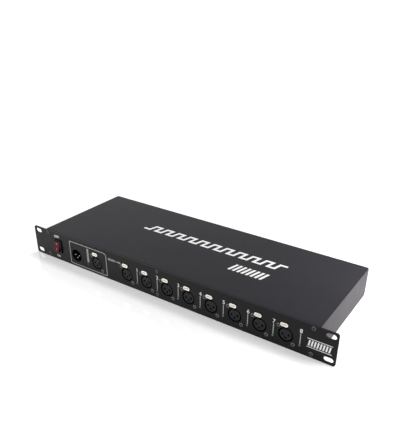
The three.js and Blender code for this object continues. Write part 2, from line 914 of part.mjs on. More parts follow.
// Mains inlet: a flange on the rear wall, the cavity with three blades, and the fuse bay below it
function inletGeometry() {
  const flange = frontPlate(
    roundedRectangle(
      inletX, inletZ, inletFlangeWidth, inletFlangeHeight, inletFlangeCorner, cornerFacets,
    ),
    [],
    rearWallOuterY,
    inletFlangeRearY,
  );
  const inletCavityFloorY = inletFlangeRearY - inletCavityDepth;
  const body = frontPlate(
    rectangle(
      inletX - inletBodyWidth / 2,
      inletBodyBottomZ,
      inletX + inletBodyWidth / 2,
      inletBodyBottomZ + inletBodyHeight,
    ),
    [],
    inletCavityFloorY - inletFloor,
    inletFlangeRearY,
  );
  const cavity = frontPlate(
    roundedRectangle(
      inletX,
      inletCavityCentreZ,
      inletCavityWidth,
      inletCavityHeight,
      inletCavityCorner,
      cutCornerFacets,
    ),
    [],
    inletCavityFloorY,
    inletFlangeRearY + overrun,
  );
  const bay = frontPlate(
    rectangle(
      inletX - fuseBayWidth / 2,
      fuseBayCentreZ - fuseBayHeight / 2,
      inletX + fuseBayWidth / 2,
      fuseBayCentreZ + fuseBayHeight / 2,
    ),
    [],
    inletFlangeRearY - fuseBayDepth,
    inletFlangeRearY + overrun,
  );
  const housing = combine([flange, body], [cavity, bay]);
  const blades = [-1, 0, 1].map((side) => {
    const bladeZ = inletCavityCentreZ + (side ? -earthBladeRise / 2 : earthBladeRise / 2);
    return block(
      inletX + side * bladeSpacing - bladeWidth / 2,
      inletCavityFloorY - inletFloor / 2,
      bladeZ - bladeHeight / 2,
      inletX + side * bladeSpacing + bladeWidth / 2,
      inletCavityFloorY + bladeLength,
      bladeZ + bladeHeight / 2,
    );
  });
  return combine([housing, ...blades]);
}

const drawerHalfWidth = fuseBayWidth / 2 - drawerClearance;
const drawerHalfHeight = fuseBayHeight / 2 - drawerClearance;
const drawerInnerY = inletFlangeRearY - fuseBayDepth + drawerClearance;
const fuseY = drawerInnerY + fuseSetback + fuseRadius + fuseGap;

// Fuse drawer: its face on the flange, the slide in the bay, and the fuse's trough open at the top
function fuseDrawerGeometry() {
  const face = frontPlate(
    rectangle(
      inletX - drawerHalfWidth - drawerFaceMargin,
      fuseBayCentreZ - drawerHalfHeight - drawerFaceMargin,
      inletX + drawerHalfWidth + drawerFaceMargin,
      fuseBayCentreZ + drawerHalfHeight + drawerFaceMargin,
    ),
    [],
    inletFlangeRearY,
    inletFlangeRearY + drawerFaceThickness,
  );
  const slide = frontPlate(
    rectangle(
      inletX - drawerHalfWidth,
      fuseBayCentreZ - drawerHalfHeight,
      inletX + drawerHalfWidth,
      fuseBayCentreZ + drawerHalfHeight,
    ),
    [],
    drawerInnerY,
    inletFlangeRearY,
  );
  const trough = block(
    inletX - fuseLength / 2 - fuseGap,
    fuseY - fuseRadius - fuseGap,
    fuseBayCentreZ - fuseRadius - fuseGap,
    inletX + fuseLength / 2 + fuseGap,
    fuseY + fuseRadius + fuseGap,
    fuseBayCentreZ + drawerHalfHeight + overrun,
  );
  return combine([face, slide], [trough]);
}

function fuseGeometry() {
  return crossBar(
    circle(fuseY, fuseBayCentreZ, fuseRadius, screwFacets),
    inletX - fuseLength / 2,
    inletX + fuseLength / 2,
  );
}

// Signal board: upright on the connectors' rear ends, with a converter and a driver for each output
function signalBoardGeometry() {
  const boardRearY = barrelRearY + boardThickness;
  const board = frontPlate(
    rectangle(
      inputX - signalBoardLeft,
      signalBoardBottom,
      outputXs[outputCount - 1] + signalBoardRight,
      signalBoardBottom + signalBoardHeight,
    ),
    [],
    barrelRearY,
    boardRearY,
  );
  const parts = outputXs.flatMap((x) => [
    block(
      x - converterWidth / 2,
      boardRearY - boardThickness / 2,
      converterZ - converterHeight / 2,
      x + converterWidth / 2,
      boardRearY + converterDepth,
      converterZ + converterHeight / 2,
    ),
    block(
      x - driverWidth / 2,
      boardRearY - boardThickness / 2,
      driverZ - driverHeight / 2,
      x + driverWidth / 2,
      boardRearY + driverDepth,
      driverZ + driverHeight / 2,
    ),
  ]);
  return combine([board, ...parts]);
}

function powerBoardGeometry() {
  return block(
    powerBoardX - powerBoardWidth / 2,
    powerBoardY - powerBoardDepth / 2,
    powerBoardBottomZ,
    powerBoardX + powerBoardWidth / 2,
    powerBoardY + powerBoardDepth / 2,
    powerBoardTopZ,
  );
}

// Transformer: a laminated core with its winding standing out in front and behind
function transformerGeometry() {
  const centreX = powerBoardX + transformerOffsetX;
  const centreY = powerBoardY + transformerOffsetY;
  const core = block(
    centreX - transformerWidth / 2,
    centreY - transformerLamination,
    powerBoardTopZ,
    centreX + transformerWidth / 2,
    centreY + transformerLamination,
    powerBoardTopZ + transformerHeight,
  );
  const windingMargin = (transformerHeight - transformerWinding) / 2;
  const winding = block(
    centreX - transformerWinding / 2,
    centreY - transformerDepth / 2,
    powerBoardTopZ + windingMargin,
    centreX + transformerWinding / 2,
    centreY + transformerDepth / 2,
    powerBoardTopZ + transformerHeight - windingMargin,
  );
  return combine([core, winding]);
}

function capacitorGeometry() {
  const outline = (radius) =>
    circle(
      powerBoardX + powerBoardWidth / 2 - capacitorInsetX,
      powerBoardY - powerBoardDepth / 2 + capacitorInsetY,
      radius,
      screwFacets,
    );
  const can = upright(outline(capacitorRadius), powerBoardTopZ, powerBoardTopZ + capacitorHeight);
  const rim = upright(
    outline(capacitorRadius - capacitorRim),
    powerBoardTopZ + capacitorHeight - overrun,
    powerBoardTopZ + capacitorHeight + capacitorRim,
  );
  return combine([can, rim]);
}

addPiece(splitter, "front_panel", panelGeometry(), finishes.panelPaint);
addPiece(splitter, "top_cover", coverGeometry(), finishes.casePaint);
addPiece(splitter, "chassis_tray", trayGeometry(), finishes.casePaint);

for (const [side, x] of Object.entries(screwXs)) {
  for (const [level, z] of [["upper", screwUpperZ], ["lower", screwLowerZ]]) {
    addPiece(splitter, `panel_screw_${side}_${level}`, screwGeometry(x, z), finishes.screwSteel);
  }
}

const connectors = new THREE.Group();
splitter.add(connectors);
addInput(connectors);
addSocket(connectors, "thru", thruX);
outputXs.forEach((x, i) => addSocket(connectors, `output_${i + 1}`, x));

const lamps = new THREE.Group();
splitter.add(lamps);
for (const { name, x, z, finish } of lampPlaces) {
  addPiece(lamps, name, lampGeometry(x, z), finish);
}

const powerSwitch = new THREE.Group();
splitter.add(powerSwitch);
addPiece(powerSwitch, "switch_housing", switchHousingGeometry(), finishes.blackPlastic);
addPiece(powerSwitch, "switch_rocker", rockerGeometry(), finishes.redPlastic);

const supply = new THREE.Group();
splitter.add(supply);
addPiece(supply, "mains_inlet", inletGeometry(), finishes.blackPlastic);
addPiece(supply, "fuse_drawer", fuseDrawerGeometry(), finishes.insertPlastic);
addPiece(supply, "fuse", fuseGeometry(), finishes.glass);
addPiece(supply, "signal_board", signalBoardGeometry(), finishes.boardGreen);
addPiece(supply, "power_board", powerBoardGeometry(), finishes.boardGreen);
addPiece(supply, "power_transformer", transformerGeometry(), finishes.laminations);
addPiece(supply, "filter_capacitor", capacitorGeometry(), finishes.sleeve);

export default splitter;
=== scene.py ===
"""Looks of a rack-mounted DMX splitter: its pieces, its finishes, the camera and the light."""

from __future__ import annotations

import logging
import math
from dataclasses import dataclass
from enum import Enum
from typing import Sequence

import bmesh
import bpy
import numpy as np
from mathutils import Matrix, Vector


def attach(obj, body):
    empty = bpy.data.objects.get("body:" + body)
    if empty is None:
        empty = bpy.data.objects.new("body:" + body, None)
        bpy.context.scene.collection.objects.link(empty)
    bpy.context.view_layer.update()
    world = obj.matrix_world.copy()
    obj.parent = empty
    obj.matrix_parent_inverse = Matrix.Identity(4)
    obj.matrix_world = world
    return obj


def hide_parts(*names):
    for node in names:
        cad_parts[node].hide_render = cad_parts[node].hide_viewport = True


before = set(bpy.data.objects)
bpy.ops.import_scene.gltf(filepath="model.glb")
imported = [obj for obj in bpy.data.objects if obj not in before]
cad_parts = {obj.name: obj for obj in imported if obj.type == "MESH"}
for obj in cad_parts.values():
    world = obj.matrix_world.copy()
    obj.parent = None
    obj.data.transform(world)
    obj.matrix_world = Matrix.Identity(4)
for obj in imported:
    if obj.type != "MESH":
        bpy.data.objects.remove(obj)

LOG = logging.getLogger("splitter")
# Sizes are in millimetres; Blender's are in metres, and so are the two gaps that are closed.
MM = 0.001
SEAM, SLIVER = 2e-7, 1e-8
# Faces that meet at less than this are shaded as one.
SMOOTH_BEND = math.radians(32.0)
Array = np.ndarray
Pair = tuple[float, float]
Place = tuple[float, float, float]
Colour = tuple[float, float, float]
WHITE, BLACK = (1.0, 1.0, 1.0), (0.0, 0.0, 0.0)
UNIT_BOX = np.array([[-1, -1], [1, -1], [1, 1], [-1, 1]]) / 2


class Facing(Enum):
    """Which way a flat outline looks: it lies in the two other axes."""

    FRONT = "outline in x and z, depth along y"
    RIGHT = "outline in y and z, depth along x"
    TOP = "outline in x and y, depth along z"

    def place(self, flat: Array, depth: Array) -> Array:
        """Points in space of a flat outline.

        Args:
            flat: Points (n, 2) of the outline.
            depth: How far each lies along the third axis.

        Returns:
            Points (n, 3) in millimetres.
        """
        columns = {
            Facing.FRONT: (flat[:, 0], depth, flat[:, 1]),
            Facing.RIGHT: (depth, flat[:, 0], flat[:, 1]),
            Facing.TOP: (flat[:, 0], flat[:, 1], depth),
        }
        return np.stack(columns[self], axis=-1)


def tidied(mesh: bpy.types.Mesh) -> bpy.types.Mesh:
    """Closes the seams and poles of a mesh in metres and turns its faces outwards.

    Args:
        mesh: The mesh.

    Returns:
        The same mesh.
    """
    work = bmesh.new()
    work.from_mesh(mesh)
    bmesh.ops.remove_doubles(work, verts=work.verts, dist=SEAM)
    bmesh.ops.dissolve_degenerate(work, edges=work.edges, dist=SLIVER)
    bmesh.ops.recalc_face_normals(work, faces=work.faces)
    work.to_mesh(mesh)
    work.free()
    return mesh


def new_object(name: str, data: bpy.types.ID) -> bpy.types.Object:
    """Object of a mesh, a curve, a lamp or a camera, linked to the scene."""
    thing = bpy.data.objects.new(name, data)
    bpy.context.scene.collection.objects.link(thing)
    return thing


def points_of(mesh: bpy.types.Mesh) -> Array:
    """Coordinates (n, 3) of a mesh's points."""
    flat = np.empty(3 * len(mesh.vertices), np.float32)
    mesh.vertices.foreach_get("co", flat)
    return flat.reshape(-1, 3).astype(float)


def move_points(mesh: bpy.types.Mesh, points: Array) -> None:
    """Puts a mesh's points at new places (n, 3) in millimetres."""
    mesh.vertices.foreach_set("co", (points * MM).ravel())


def grid_quads(rows: int, columns: int, wrap: bool) -> Array:
    """Corners of each quad of a grid of points.

    Args:
        rows: Points along the first parameter.
        columns: Points along the second parameter.
        wrap: Whether the last column joins the first.

    Returns:
        Indices (n, 4): quad (i, j) joins points (i, j), (i, j+1), (i+1, j+1), (i+1, j).
    """
    row = np.arange(rows - 1)[:, None] * columns
    column = np.arange(columns if wrap else columns - 1)[None, :]
    following = (column + 1) % columns
    corners = (row + column, row + following, row + columns + following, row + columns + column)
    return np.stack(corners, axis=-1).reshape(-1, 4)


def mesh_of(*surfaces: tuple[Array, Array]) -> bpy.types.Mesh:
    """One mesh of several surfaces.

    Args:
        surfaces: Each surface's points (n, 3) in millimetres and its faces, counted from its
            own first point.

    Returns:
        A mesh in metres, joined where the surfaces meet.
    """
    starts = np.cumsum([0] + [len(points) for points, _ in surfaces[:-1]])
    points = np.vstack([points for points, _ in surfaces])
    faces = np.vstack([faces + start for (_, faces), start in zip(surfaces, starts)])
    mesh = bpy.data.meshes.new("form")
    mesh.from_pydata((points * MM).tolist(), [], faces.tolist())
    return tidied(mesh)


def arc(x: float | Array, z: float | Array, radius: float | Array, turn: Array) -> Array:
    """Points (x + r cos t, z + r sin t) at each turn t."""
    return np.stack([x + radius * np.cos(turn), z + radius * np.sin(turn)], axis=-1)


def circle(x: float, z: float, radius: float, steps: int = 32) -> Array:
    """Circle: the arc with t once round."""
    return arc(x, z, radius, np.linspace(0, 2 * np.pi, steps, endpoint=False))


def rounded_box(
    x: float, z: float, width: float, height: float, radius: float, steps: int = 2
) -> Array:
    """Rectangle with round corners.

    Each corner is a quarter circle about a point that lies the radius inside both its sides.

    Args:
        x: Centre.
        z: Centre.
        width: Whole width.
        height: Whole height.
        radius: Radius of the corners.
        steps: Steps in each corner.

    Returns:
        Points (n, 2), counter-clockwise.
    """
    turn = np.linspace(0, np.pi / 2, steps + 1) + (np.pi / 2 * np.arange(4))[:, None]
    side_x = np.array([1, -1, -1, 1])[:, None]
    side_z = np.array([1, 1, -1, -1])[:, None]
    middle_x = x + side_x * (width / 2 - radius)
    middle_z = z + side_z * (height / 2 - radius)
    return arc(middle_x, middle_z, radius, turn).reshape(-1, 2)


def slot(x: float, z: float, length: float, height: float) -> Array:
    """Slot with round ends: a rounded box whose corner radius is half its height."""
    return rounded_box(x, z, length, height, height / 2, steps=12)


def slanted_bars(span: Pair, z: float, size: Pair, lean: float, count: int = 8) -> list[Array]:
    """Outlines of bars in a row.

    Args:
        span: Middles of the first bar and of the last.
        z: Middle of each along its height.
        size: Width and height of each.
        lean: How far each leans over from its foot to its head.
        count: How many there are.

    Returns:
        An outline (4, 2) for each.
    """
    shape = UNIT_BOX * size + UNIT_BOX[:, 1:] * [lean, 0]
    return [shape + [x, z] for x in np.linspace(*span, count)]


def eased(
    profile: Array, radius: float | Array, closed: bool = False, steps: int = 4
) -> Array:
    """Profile whose corners are rounded.

    A corner c becomes the curve (1-t)^2 a + 2t(1-t) c + t^2 b, where a and b lie on its two
    sides at the radius, or at half the side where that is less.

    Args:
        profile: Points (n, 2).
        radius: How far from a corner its curve starts, for all corners or one row for each.
        closed: Whether the last point joins the first.
        steps: Steps in each curve.

    Returns:
        Points (m, 2).
    """
    if closed:
        before, corner, after = np.roll(profile, 1, 0), profile, np.roll(profile, -1, 0)
    else:
        before, corner, after = profile[:-2], profile[1:-1], profile[2:]

    def toward(other: Array) -> Array:
        """Point on the side that leads from the corner to the other point."""
        side = other - corner
        length = np.linalg.norm(side, axis=1, keepdims=True)
        return corner + side * np.minimum(radius / length, 0.5)

    start, end = toward(before)[:, None], toward(after)[:, None]
    t = np.linspace(0, 1, steps + 1)[None, :, None]
    curves = (1 - t) ** 2 * start + 2 * t * (1 - t) * corner[:, None] + t**2 * end
    inner = curves.reshape(-1, 2)
    return inner if closed else np.vstack([profile[:1], inner, profile[-1:]])


def pin_profile(radius: float, near: float, far: float) -> Array:
    """Profile (radius, y) of a plain pin from one depth to the other."""
    return np.array([[0, near], [radius, near], [radius, far], [0, far]])


def turned(
    profile: Array, x: float, z: float, steps: int = 24, ring: bool = False
) -> bpy.types.Mesh:
    """Form turned about an axis along Y.

    The point at turn t of a profile point (r, y) is (x + r cos t, y, z + r sin t).

    Args:
        profile: Points (radius, y) from axis to axis, or round a ring.
        x: Place of the axis.
        z: Place of the axis.
        steps: Steps once round.
        ring: Whether the profile's last point joins its first.

    Returns:
        A closed mesh.
    """
    if ring:
        profile = np.vstack([profile, profile[:1]])
    radius, depth = profile[:, :1], profile[:, 1:]
    turn = np.linspace(0, 2 * np.pi, steps, endpoint=False)[None, :]
    rows = [x + radius * np.cos(turn), depth + 0 * turn, z + radius * np.sin(turn)]
    points = np.stack(rows, axis=-1).reshape(-1, 3)
    return mesh_of((points, grid_quads(len(profile), steps, wrap=True)))


def cross_head(
    x: float, z: float, seat: float, radius: float, height: float, outward: int = -1
) -> bpy.types.Mesh:
    """Domed screw head with a cross recess.

    On a grid of radius share s and turn t, the head stands height x (1 - s^4)^(1/2) proud.
    Where the point lies inside the cross, which is the lesser of |sin t| and |cos t| times
    the radius under the arm's half width, a smooth step lowers it by the recess's depth.

    Args:
        x: Place of the axis.
        z: Place of the axis.
        seat: Depth of the face that it lies on.
        radius: Radius of the head.
        height: Height of the head.
        outward: Which way it looks along Y: -1 to the front, 1 to the rear.

    Returns:
        A closed mesh.
    """
    arm_half, arm_slope, arm_reach, reach_slope = 0.34, 0.045, 1.55, 0.06
    foot, deepest, under = 0.15, 1.1, 0.1
    middle, border = np.linspace(0, 0.75, 22), np.linspace(0.8, 1, 9)
    share = np.concatenate([middle, border])[:, None]
    turn = np.linspace(0, 2 * np.pi, 96, endpoint=False)[None, :]
    reach = share * radius
    dome = height * np.sqrt(np.maximum(1 - share**4, 0)) + 0 * turn
    off_arm = reach * np.minimum(np.abs(np.sin(turn)), np.abs(np.cos(turn)))
    across = 1 / (1 + np.exp((off_arm - arm_half) / arm_slope))
    inside = across / (1 + np.exp((reach - arm_reach) / reach_slope))
    depth = seat + outward * (dome - inside * min(deepest, height + under))
    top = np.stack([x + reach * np.cos(turn), depth, z + reach * np.sin(turn)], axis=-1)
    rim = top[-1:] - [0, outward * foot, 0]
    base = np.stack([x + 0 * turn, seat - outward * foot + 0 * turn, z + 0 * turn], axis=-1)
    points = np.concatenate([top, rim, base])
    return mesh_of((points.reshape(-1, 3), grid_quads(len(points), turn.size, wrap=True)))


def plate(
    outlines: Sequence[Array],
    low: float,
    high: float,
    facing: Facing = Facing.FRONT,
    edge: float = 0.0,
) -> bpy.types.Mesh:
    """Plate between two depths, with holes and eased edges.

    Args:
        outlines: The outer outline and those of its holes, each (n, 2).
        low: Depth of one face.
        high: Depth of the other.
        facing: Which way it looks.
        edge: Radius along every edge.

    Returns:
        A closed mesh.
    """
    nearest = 1e-4
    curve = bpy.data.curves.new("outline", "CURVE")
    curve.dimensions, curve.fill_mode = "2D", "BOTH"
    for outline in outlines:
        apart = np.linalg.norm(outline - np.roll(outline, 1, 0), axis=1) > nearest
        flat = outline[apart]
        spline = curve.splines.new("POLY")
        spline.points.add(len(flat) - 1)
        level, weight = np.zeros((len(flat), 1)), np.ones((len(flat), 1))
        spline.points.foreach_set("co", np.hstack([flat, level, weight]).ravel())
        spline.use_cyclic_u = True
    curve.extrude = (high - low) / 2 - edge
    curve.bevel_depth, curve.bevel_resolution, curve.offset = edge, 2, -edge
    return laid(curve, low, high, facing)


def laid(curve: bpy.types.Curve, low: float, high: float, facing: Facing) -> bpy.types.Mesh:
    """Makes a flat curve or text a mesh between two depths, and removes the curve.

    Args:
        curve: The flat curve, in millimetres.
        low: Depth of one face.
        high: Depth of the other.
        facing: Which way it looks.

    Returns:
        A closed mesh in metres.
    """
    holder = new_object("outline", curve)
    depsgraph = bpy.context.evaluated_depsgraph_get()
    mesh = bpy.data.meshes.new_from_object(holder.evaluated_get(depsgraph))
    bpy.data.objects.remove(holder)
    bpy.data.curves.remove(curve)
    points = points_of(mesh)
    move_points(mesh, facing.place(points[:, :2], (low + high) / 2 + points[:, 2]))
    return tidied(mesh)


@dataclass(frozen=True)
class Block:
    """A box with round corners as it is seen from the front, and eased edges in its depth."""

    width: float
    height: float
    corner: float
    edge: float = 0.0
    steps: int = 2

    def outline(self, x: float, z: float) -> Array:
        """Outline of the block about its middle."""
        return rounded_box(x, z, self.width, self.height, self.corner, self.steps)

    def solid(self, place: Pair, low: float, high: float, *holes: Array) -> bpy.types.Mesh:
        """The block about its middle, between two depths and round any holes."""
        return plate([self.outline(*place), *holes], low, high, edge=self.edge)


def stroke(
    path: Sequence[Pair] | Array,
    width: float,
    low: float,
    high: float,
    facing: Facing = Facing.FRONT,
    closed: bool = False,
) -> bpy.types.Mesh:
    """Flat line of even width along a path.

    At each point the line's edges lie half the width to either side along the mean of the
    two neighbouring sides' normals, over the cosine of half the bend, so that it stays even.

    Args:
        path: Points (n, 2).
        width: Width of the line.
        low: Depth of one face.
        high: Depth of the other.
        facing: Which way it looks.
        closed: Whether the last point joins the first.

    Returns:
        A closed mesh.
    """
    path = np.asarray(path, float)
    ahead = np.roll(path, -1, 0) - path
    ahead /= np.linalg.norm(ahead, axis=1, keepdims=True) + 1e-12
    if not closed:
        ahead[-1] = ahead[-2]
    behind = np.roll(ahead, 1, 0)
    if not closed:
        behind[0] = ahead[0]
    normal = np.stack([-(ahead + behind)[:, 1], (ahead + behind)[:, 0]], axis=-1)
    normal /= (normal**2).sum(1, keepdims=True) / 2
    left, right = path + normal * width / 2, path - normal * width / 2
    lows, highs = np.full(len(path), low), np.full(len(path), high)
    ring = [facing.place(side, depth) for side, depth in
            ((left, lows), (right, lows), (right, highs), (left, highs))]
    points = np.stack(ring, axis=1)
    if closed:
        points = np.concatenate([points, points[:1]])
    faces = grid_quads(len(points), 4, wrap=True)
    if not closed:
        last = 4 * len(points) - 4
        faces = np.vstack([faces, [[0, 1, 2, 3], [last, last + 1, last + 2, last + 3]]])
    return mesh_of((points.reshape(-1, 3), faces))


def words(
    text: str, place: Pair, height: float, depths: Pair, boldness: float = 0.02
) -> bpy.types.Mesh:
    """Numeral or plain word on the front, scaled to a height.

    Args:
        text: What it says.
        place: Its middle, as x and z.
        height: Height of its tallest letter.
        depths: Depths of its front and its rear.
        boldness: How far its strokes grow, as a share of the type's size.

    Returns:
        A closed mesh.
    """
    curve = bpy.data.curves.new("words", "FONT")
    curve.body = text
    curve.extrude = (depths[1] - depths[0]) / 2
    curve.offset = boldness
    mesh = laid(curve, *depths, Facing.FRONT)
    points = points_of(mesh) / MM
    lowest, highest = points.min(0), points.max(0)
    share = height / (highest[2] - lowest[2])
    for axis, middle in zip((0, 2), place):
        points[:, axis] = middle + (points[:, axis] - (lowest + highest)[axis] / 2) * share
    move_points(mesh, points)
    return mesh


class Graph:
    """Nodes of a material or a group, with short calls to add and join them."""

    def __init__(self, tree: bpy.types.NodeTree) -> None:
        """Keeps the tree that the nodes go into."""
        self.tree = tree

    def feed(self, socket: bpy.types.NodeSocket, value: object) -> None:
        """Gives a socket a value, or joins another node's output to it."""
        if isinstance(value, bpy.types.NodeSocket):
            self.tree.links.new(value, socket)
        elif isinstance(value, tuple) and len(value) == 3 and socket.type == "RGBA":
            socket.default_value = (*value, 1.0)
        else:
            socket.default_value = value

    def set(self, node: bpy.types.Node, **inputs: object) -> None:
        """Feeds a node's sockets by name, with underscores for the names' spaces."""
        for name, value in inputs.items():
            self.feed(node.inputs[name.replace("_", " ")], value)

    def add(self, kind: str, **inputs: object) -> bpy.types.Node:
        """Adds a node.

        Args:
            kind: The node's type, without the shader prefix.
            inputs: Sockets by name, each a value or another node's output.

        Returns:
            The node.
        """
        node = self.tree.nodes.new("ShaderNode" + kind)
        self.set(node, **inputs)
        return node

    def group(self, tree: bpy.types.NodeTree, **inputs: object) -> bpy.types.Node:
        """Adds a node that stands for a node group.

        Args:
            tree: The group.
            inputs: Its sockets by name.

        Returns:
            The node.
        """
        node = self.add("Group")
        node.node_tree = tree
        self.set(node, **inputs)
        return node

    def maths(self, operation: str, *values: object, clamp: bool = False) -> bpy.types.NodeSocket:
        """Adds a Math node and gives its result."""
        node = self.add("Math")
        node.operation, node.use_clamp = operation, clamp
        for socket, value in zip(node.inputs, values):
            self.feed(socket, value)
        return node.outputs[0]

    def mixed(self, share: object, first: object, second: object) -> bpy.types.NodeSocket:
        """Adds a colour mix and gives its result."""
        node = self.add("Mix")
        node.data_type = "RGBA"
        for index, value in ((0, share), (6, first), (7, second)):
            self.feed(node.inputs[index], value)
        return node.outputs[2]


def new_group(
    name: str, inputs: dict[str, str], outputs: dict[str, str]
) -> tuple[Graph, bpy.types.NodeOutputs, bpy.types.NodeInputs]:
    """Empty shader node group.

    Args:
        name: Its name.
        inputs: Socket types by name.
        outputs: Socket types by name.

    Returns:
        The group's graph, the sockets that it is given and those that it gives.
    """
    tree = bpy.data.node_groups.new(name, "ShaderNodeTree")
    for direction, sockets in (("INPUT", inputs), ("OUTPUT", outputs)):
        for socket, kind in sockets.items():
            tree.interface.new_socket(socket, in_out=direction, socket_type="NodeSocket" + kind)
    entry, leave = tree.nodes.new("NodeGroupInput"), tree.nodes.new("NodeGroupOutput")
    return Graph(tree), entry.outputs, leave.inputs


def new_material(name: str) -> tuple[bpy.types.Material, Graph, bpy.types.Node]:
    """Empty material, with its graph and its shader node."""
    material = bpy.data.materials.new(name)
    material.use_nodes = True
    return material, Graph(material.node_tree), material.node_tree.nodes["Principled BSDF"]


class Effects:
    """The shader node groups that the finishes share."""

    wear_gain: float = 5.0
    wear_patches: float = 260.0
    dust_patches: float = 24.0
    dust_colour: Colour = (0.42, 0.41, 0.4)

    def __init__(self) -> None:
        """Builds each group once."""
        self.mottle = self._mottle()
        self.grain = self._grain()
        self.wear = self._wear()
        self.dust = self._dust()

    def _mottle(self) -> bpy.types.NodeTree:
        """Cloudy change of tone: the colour times 1 - share x noise."""
        graph, given, gives = new_group(
            "cloudy_tone",
            {"Vector": "Vector", "Colour": "Color", "Share": "Float", "Scale": "Float"},
            {"Colour": "Color", "Tone": "Float"})
        tone = graph.add("TexNoise", Vector=given["Vector"], Scale=given["Scale"], Detail=5.0,
                         Roughness=0.6).outputs[0]
        darker = graph.maths("MULTIPLY", tone, given["Share"])
        graph.feed(gives["Colour"], graph.mixed(darker, given["Colour"], BLACK))
        graph.feed(gives["Tone"], tone)
        return graph.tree

    def _grain(self) -> bpy.types.NodeTree:
        """Fine grain of a coat or a moulding: noise over a cell pattern, as a height."""
        graph, given, gives = new_group(
            "fine_grain", {"Vector": "Vector", "Scale": "Float", "Cells": "Float"},
            {"Height": "Float"})
        noise = graph.add("TexNoise", Vector=given["Vector"], Scale=given["Scale"], Detail=3.0)
        cells = graph.add("TexVoronoi", Vector=given["Vector"], Scale=given["Scale"])
        part = graph.maths("MULTIPLY", cells.outputs["Distance"], given["Cells"])
        graph.feed(gives["Height"], graph.maths("ADD", noise.outputs[0], part))
        return graph.tree

    def _wear(self) -> bpy.types.NodeTree:
        """Wear along edges: where a rounded normal leaves the true one, broken up by noise."""
        graph, given, gives = new_group(
            "edge_wear",
            {"Vector": "Vector", "Colour": "Color", "Worn": "Color", "Radius": "Float",
             "Amount": "Float"}, {"Colour": "Color"})
        rounded = graph.add("Bevel", Radius=given["Radius"])
        rounded.samples = 4
        true = graph.add("NewGeometry")
        facing = graph.add("VectorMath")
        facing.operation = "DOT_PRODUCT"
        graph.feed(facing.inputs[0], rounded.outputs[0])
        graph.feed(facing.inputs[1], true.outputs["Normal"])
        away = graph.maths("SUBTRACT", 1.0, facing.outputs["Value"])
        edge = graph.maths("MULTIPLY", away, self.wear_gain)
        noise = graph.add("TexNoise", Vector=given["Vector"], Scale=self.wear_patches, Detail=4.0)
        broken = graph.maths("MULTIPLY", edge, noise.outputs[0])
        mask = graph.maths("MULTIPLY", broken, given["Amount"], clamp=True)
        graph.feed(gives["Colour"], graph.mixed(mask, given["Colour"], given["Worn"]))
        return graph.tree

    def _dust(self) -> bpy.types.NodeTree:
        """Dust on what looks up: the normal's height times noise."""
        graph, given, gives = new_group(
            "settled_dust", {"Vector": "Vector", "Colour": "Color", "Amount": "Float"},
            {"Colour": "Color"})
        true = graph.add("NewGeometry")
        split = graph.add("SeparateXYZ", Vector=true.outputs["Normal"])
        noise = graph.add("TexNoise", Vector=given["Vector"], Scale=self.dust_patches, Detail=6.0)
        upward = graph.maths("MAXIMUM", split.outputs[2], 0.0)
        settled = graph.maths("MULTIPLY", upward, noise.outputs[0])
        mask = graph.maths("MULTIPLY", settled, given["Amount"], clamp=True)
        graph.feed(gives["Colour"], graph.mixed(mask, given["Colour"], self.dust_colour))
        return graph.tree


@dataclass(frozen=True)
class Finish:
    """A surface finish: its colour, its gloss, and what breaks them up.

    The scales say how many patches lie in a metre. The grain's height and the radius of the
    worn edges are in millimetres. The stretch squeezes the patterns along each axis.
    """

    name: str
    colour: Colour
    roughness: float
    metallic: float = 0.0
    specular: float = 0.5
    tint: Colour = WHITE
    coat: float = 0.0
    clear: float = 0.0
    tone_share: float = 0.15
    tone_scale: float = 45.0
    gloss_spread: float = 0.05
    grain_scale: float = 1600.0
    grain_cells: float = 0.0
    grain_height: float = 0.02
    grain_strength: float = 0.6
    stretch: Place = (1.0, 1.0, 1.0)
    worn: Colour | None = None
    wear: float = 0.0
    wear_radius: float = 0.4
    dust: float = 0.0

    def build(self, effects: Effects) -> bpy.types.Material:
        """Material of this finish.

        Args:
            effects: The shared node groups.

        Returns:
            A material whose patterns lie on Object coordinates.
        """
        material, graph, shader = new_material(self.name)
        place = graph.add("TexCoord").outputs["Object"]
        drawn = graph.add("Mapping", Vector=place, Scale=self.stretch).outputs[0]

        tone = graph.group(effects.mottle, Vector=drawn, Colour=self.colour,
                           Share=self.tone_share, Scale=self.tone_scale)
        colour = tone.outputs["Colour"]
        if self.worn is not None:
            colour = graph.group(effects.wear, Vector=place, Colour=colour, Worn=self.worn,
                                 Radius=self.wear_radius * MM, Amount=self.wear).outputs[0]
        if self.dust:
            colour = graph.group(effects.dust, Vector=place, Colour=colour,
                                 Amount=self.dust).outputs[0]
        gloss = graph.add("MapRange", Value=tone.outputs["Tone"],
                          To_Min=self.roughness - self.gloss_spread,
                          To_Max=self.roughness + self.gloss_spread)
        if self.grain_height:
            grain = graph.group(effects.grain, Vector=drawn, Scale=self.grain_scale,
                                Cells=self.grain_cells)
            bump = graph.add("Bump", Height=grain.outputs["Height"],
                             Strength=self.grain_strength, Distance=self.grain_height * MM)
            graph.set(shader, Normal=bump.outputs[0])
        graph.set(shader, Base_Color=colour, Roughness=gloss.outputs[0], Metallic=self.metallic,
                  Specular_IOR_Level=self.specular, Specular_Tint=self.tint,
                  Coat_Weight=self.coat, Transmission_Weight=self.clear)
        return material


Part = tuple[bpy.types.Mesh, Finish]


def coated(finish: Finish, *meshes: bpy.types.Mesh) -> list[Part]:
    """The meshes, each with the same finish."""
    return [(mesh, finish) for mesh in meshes]


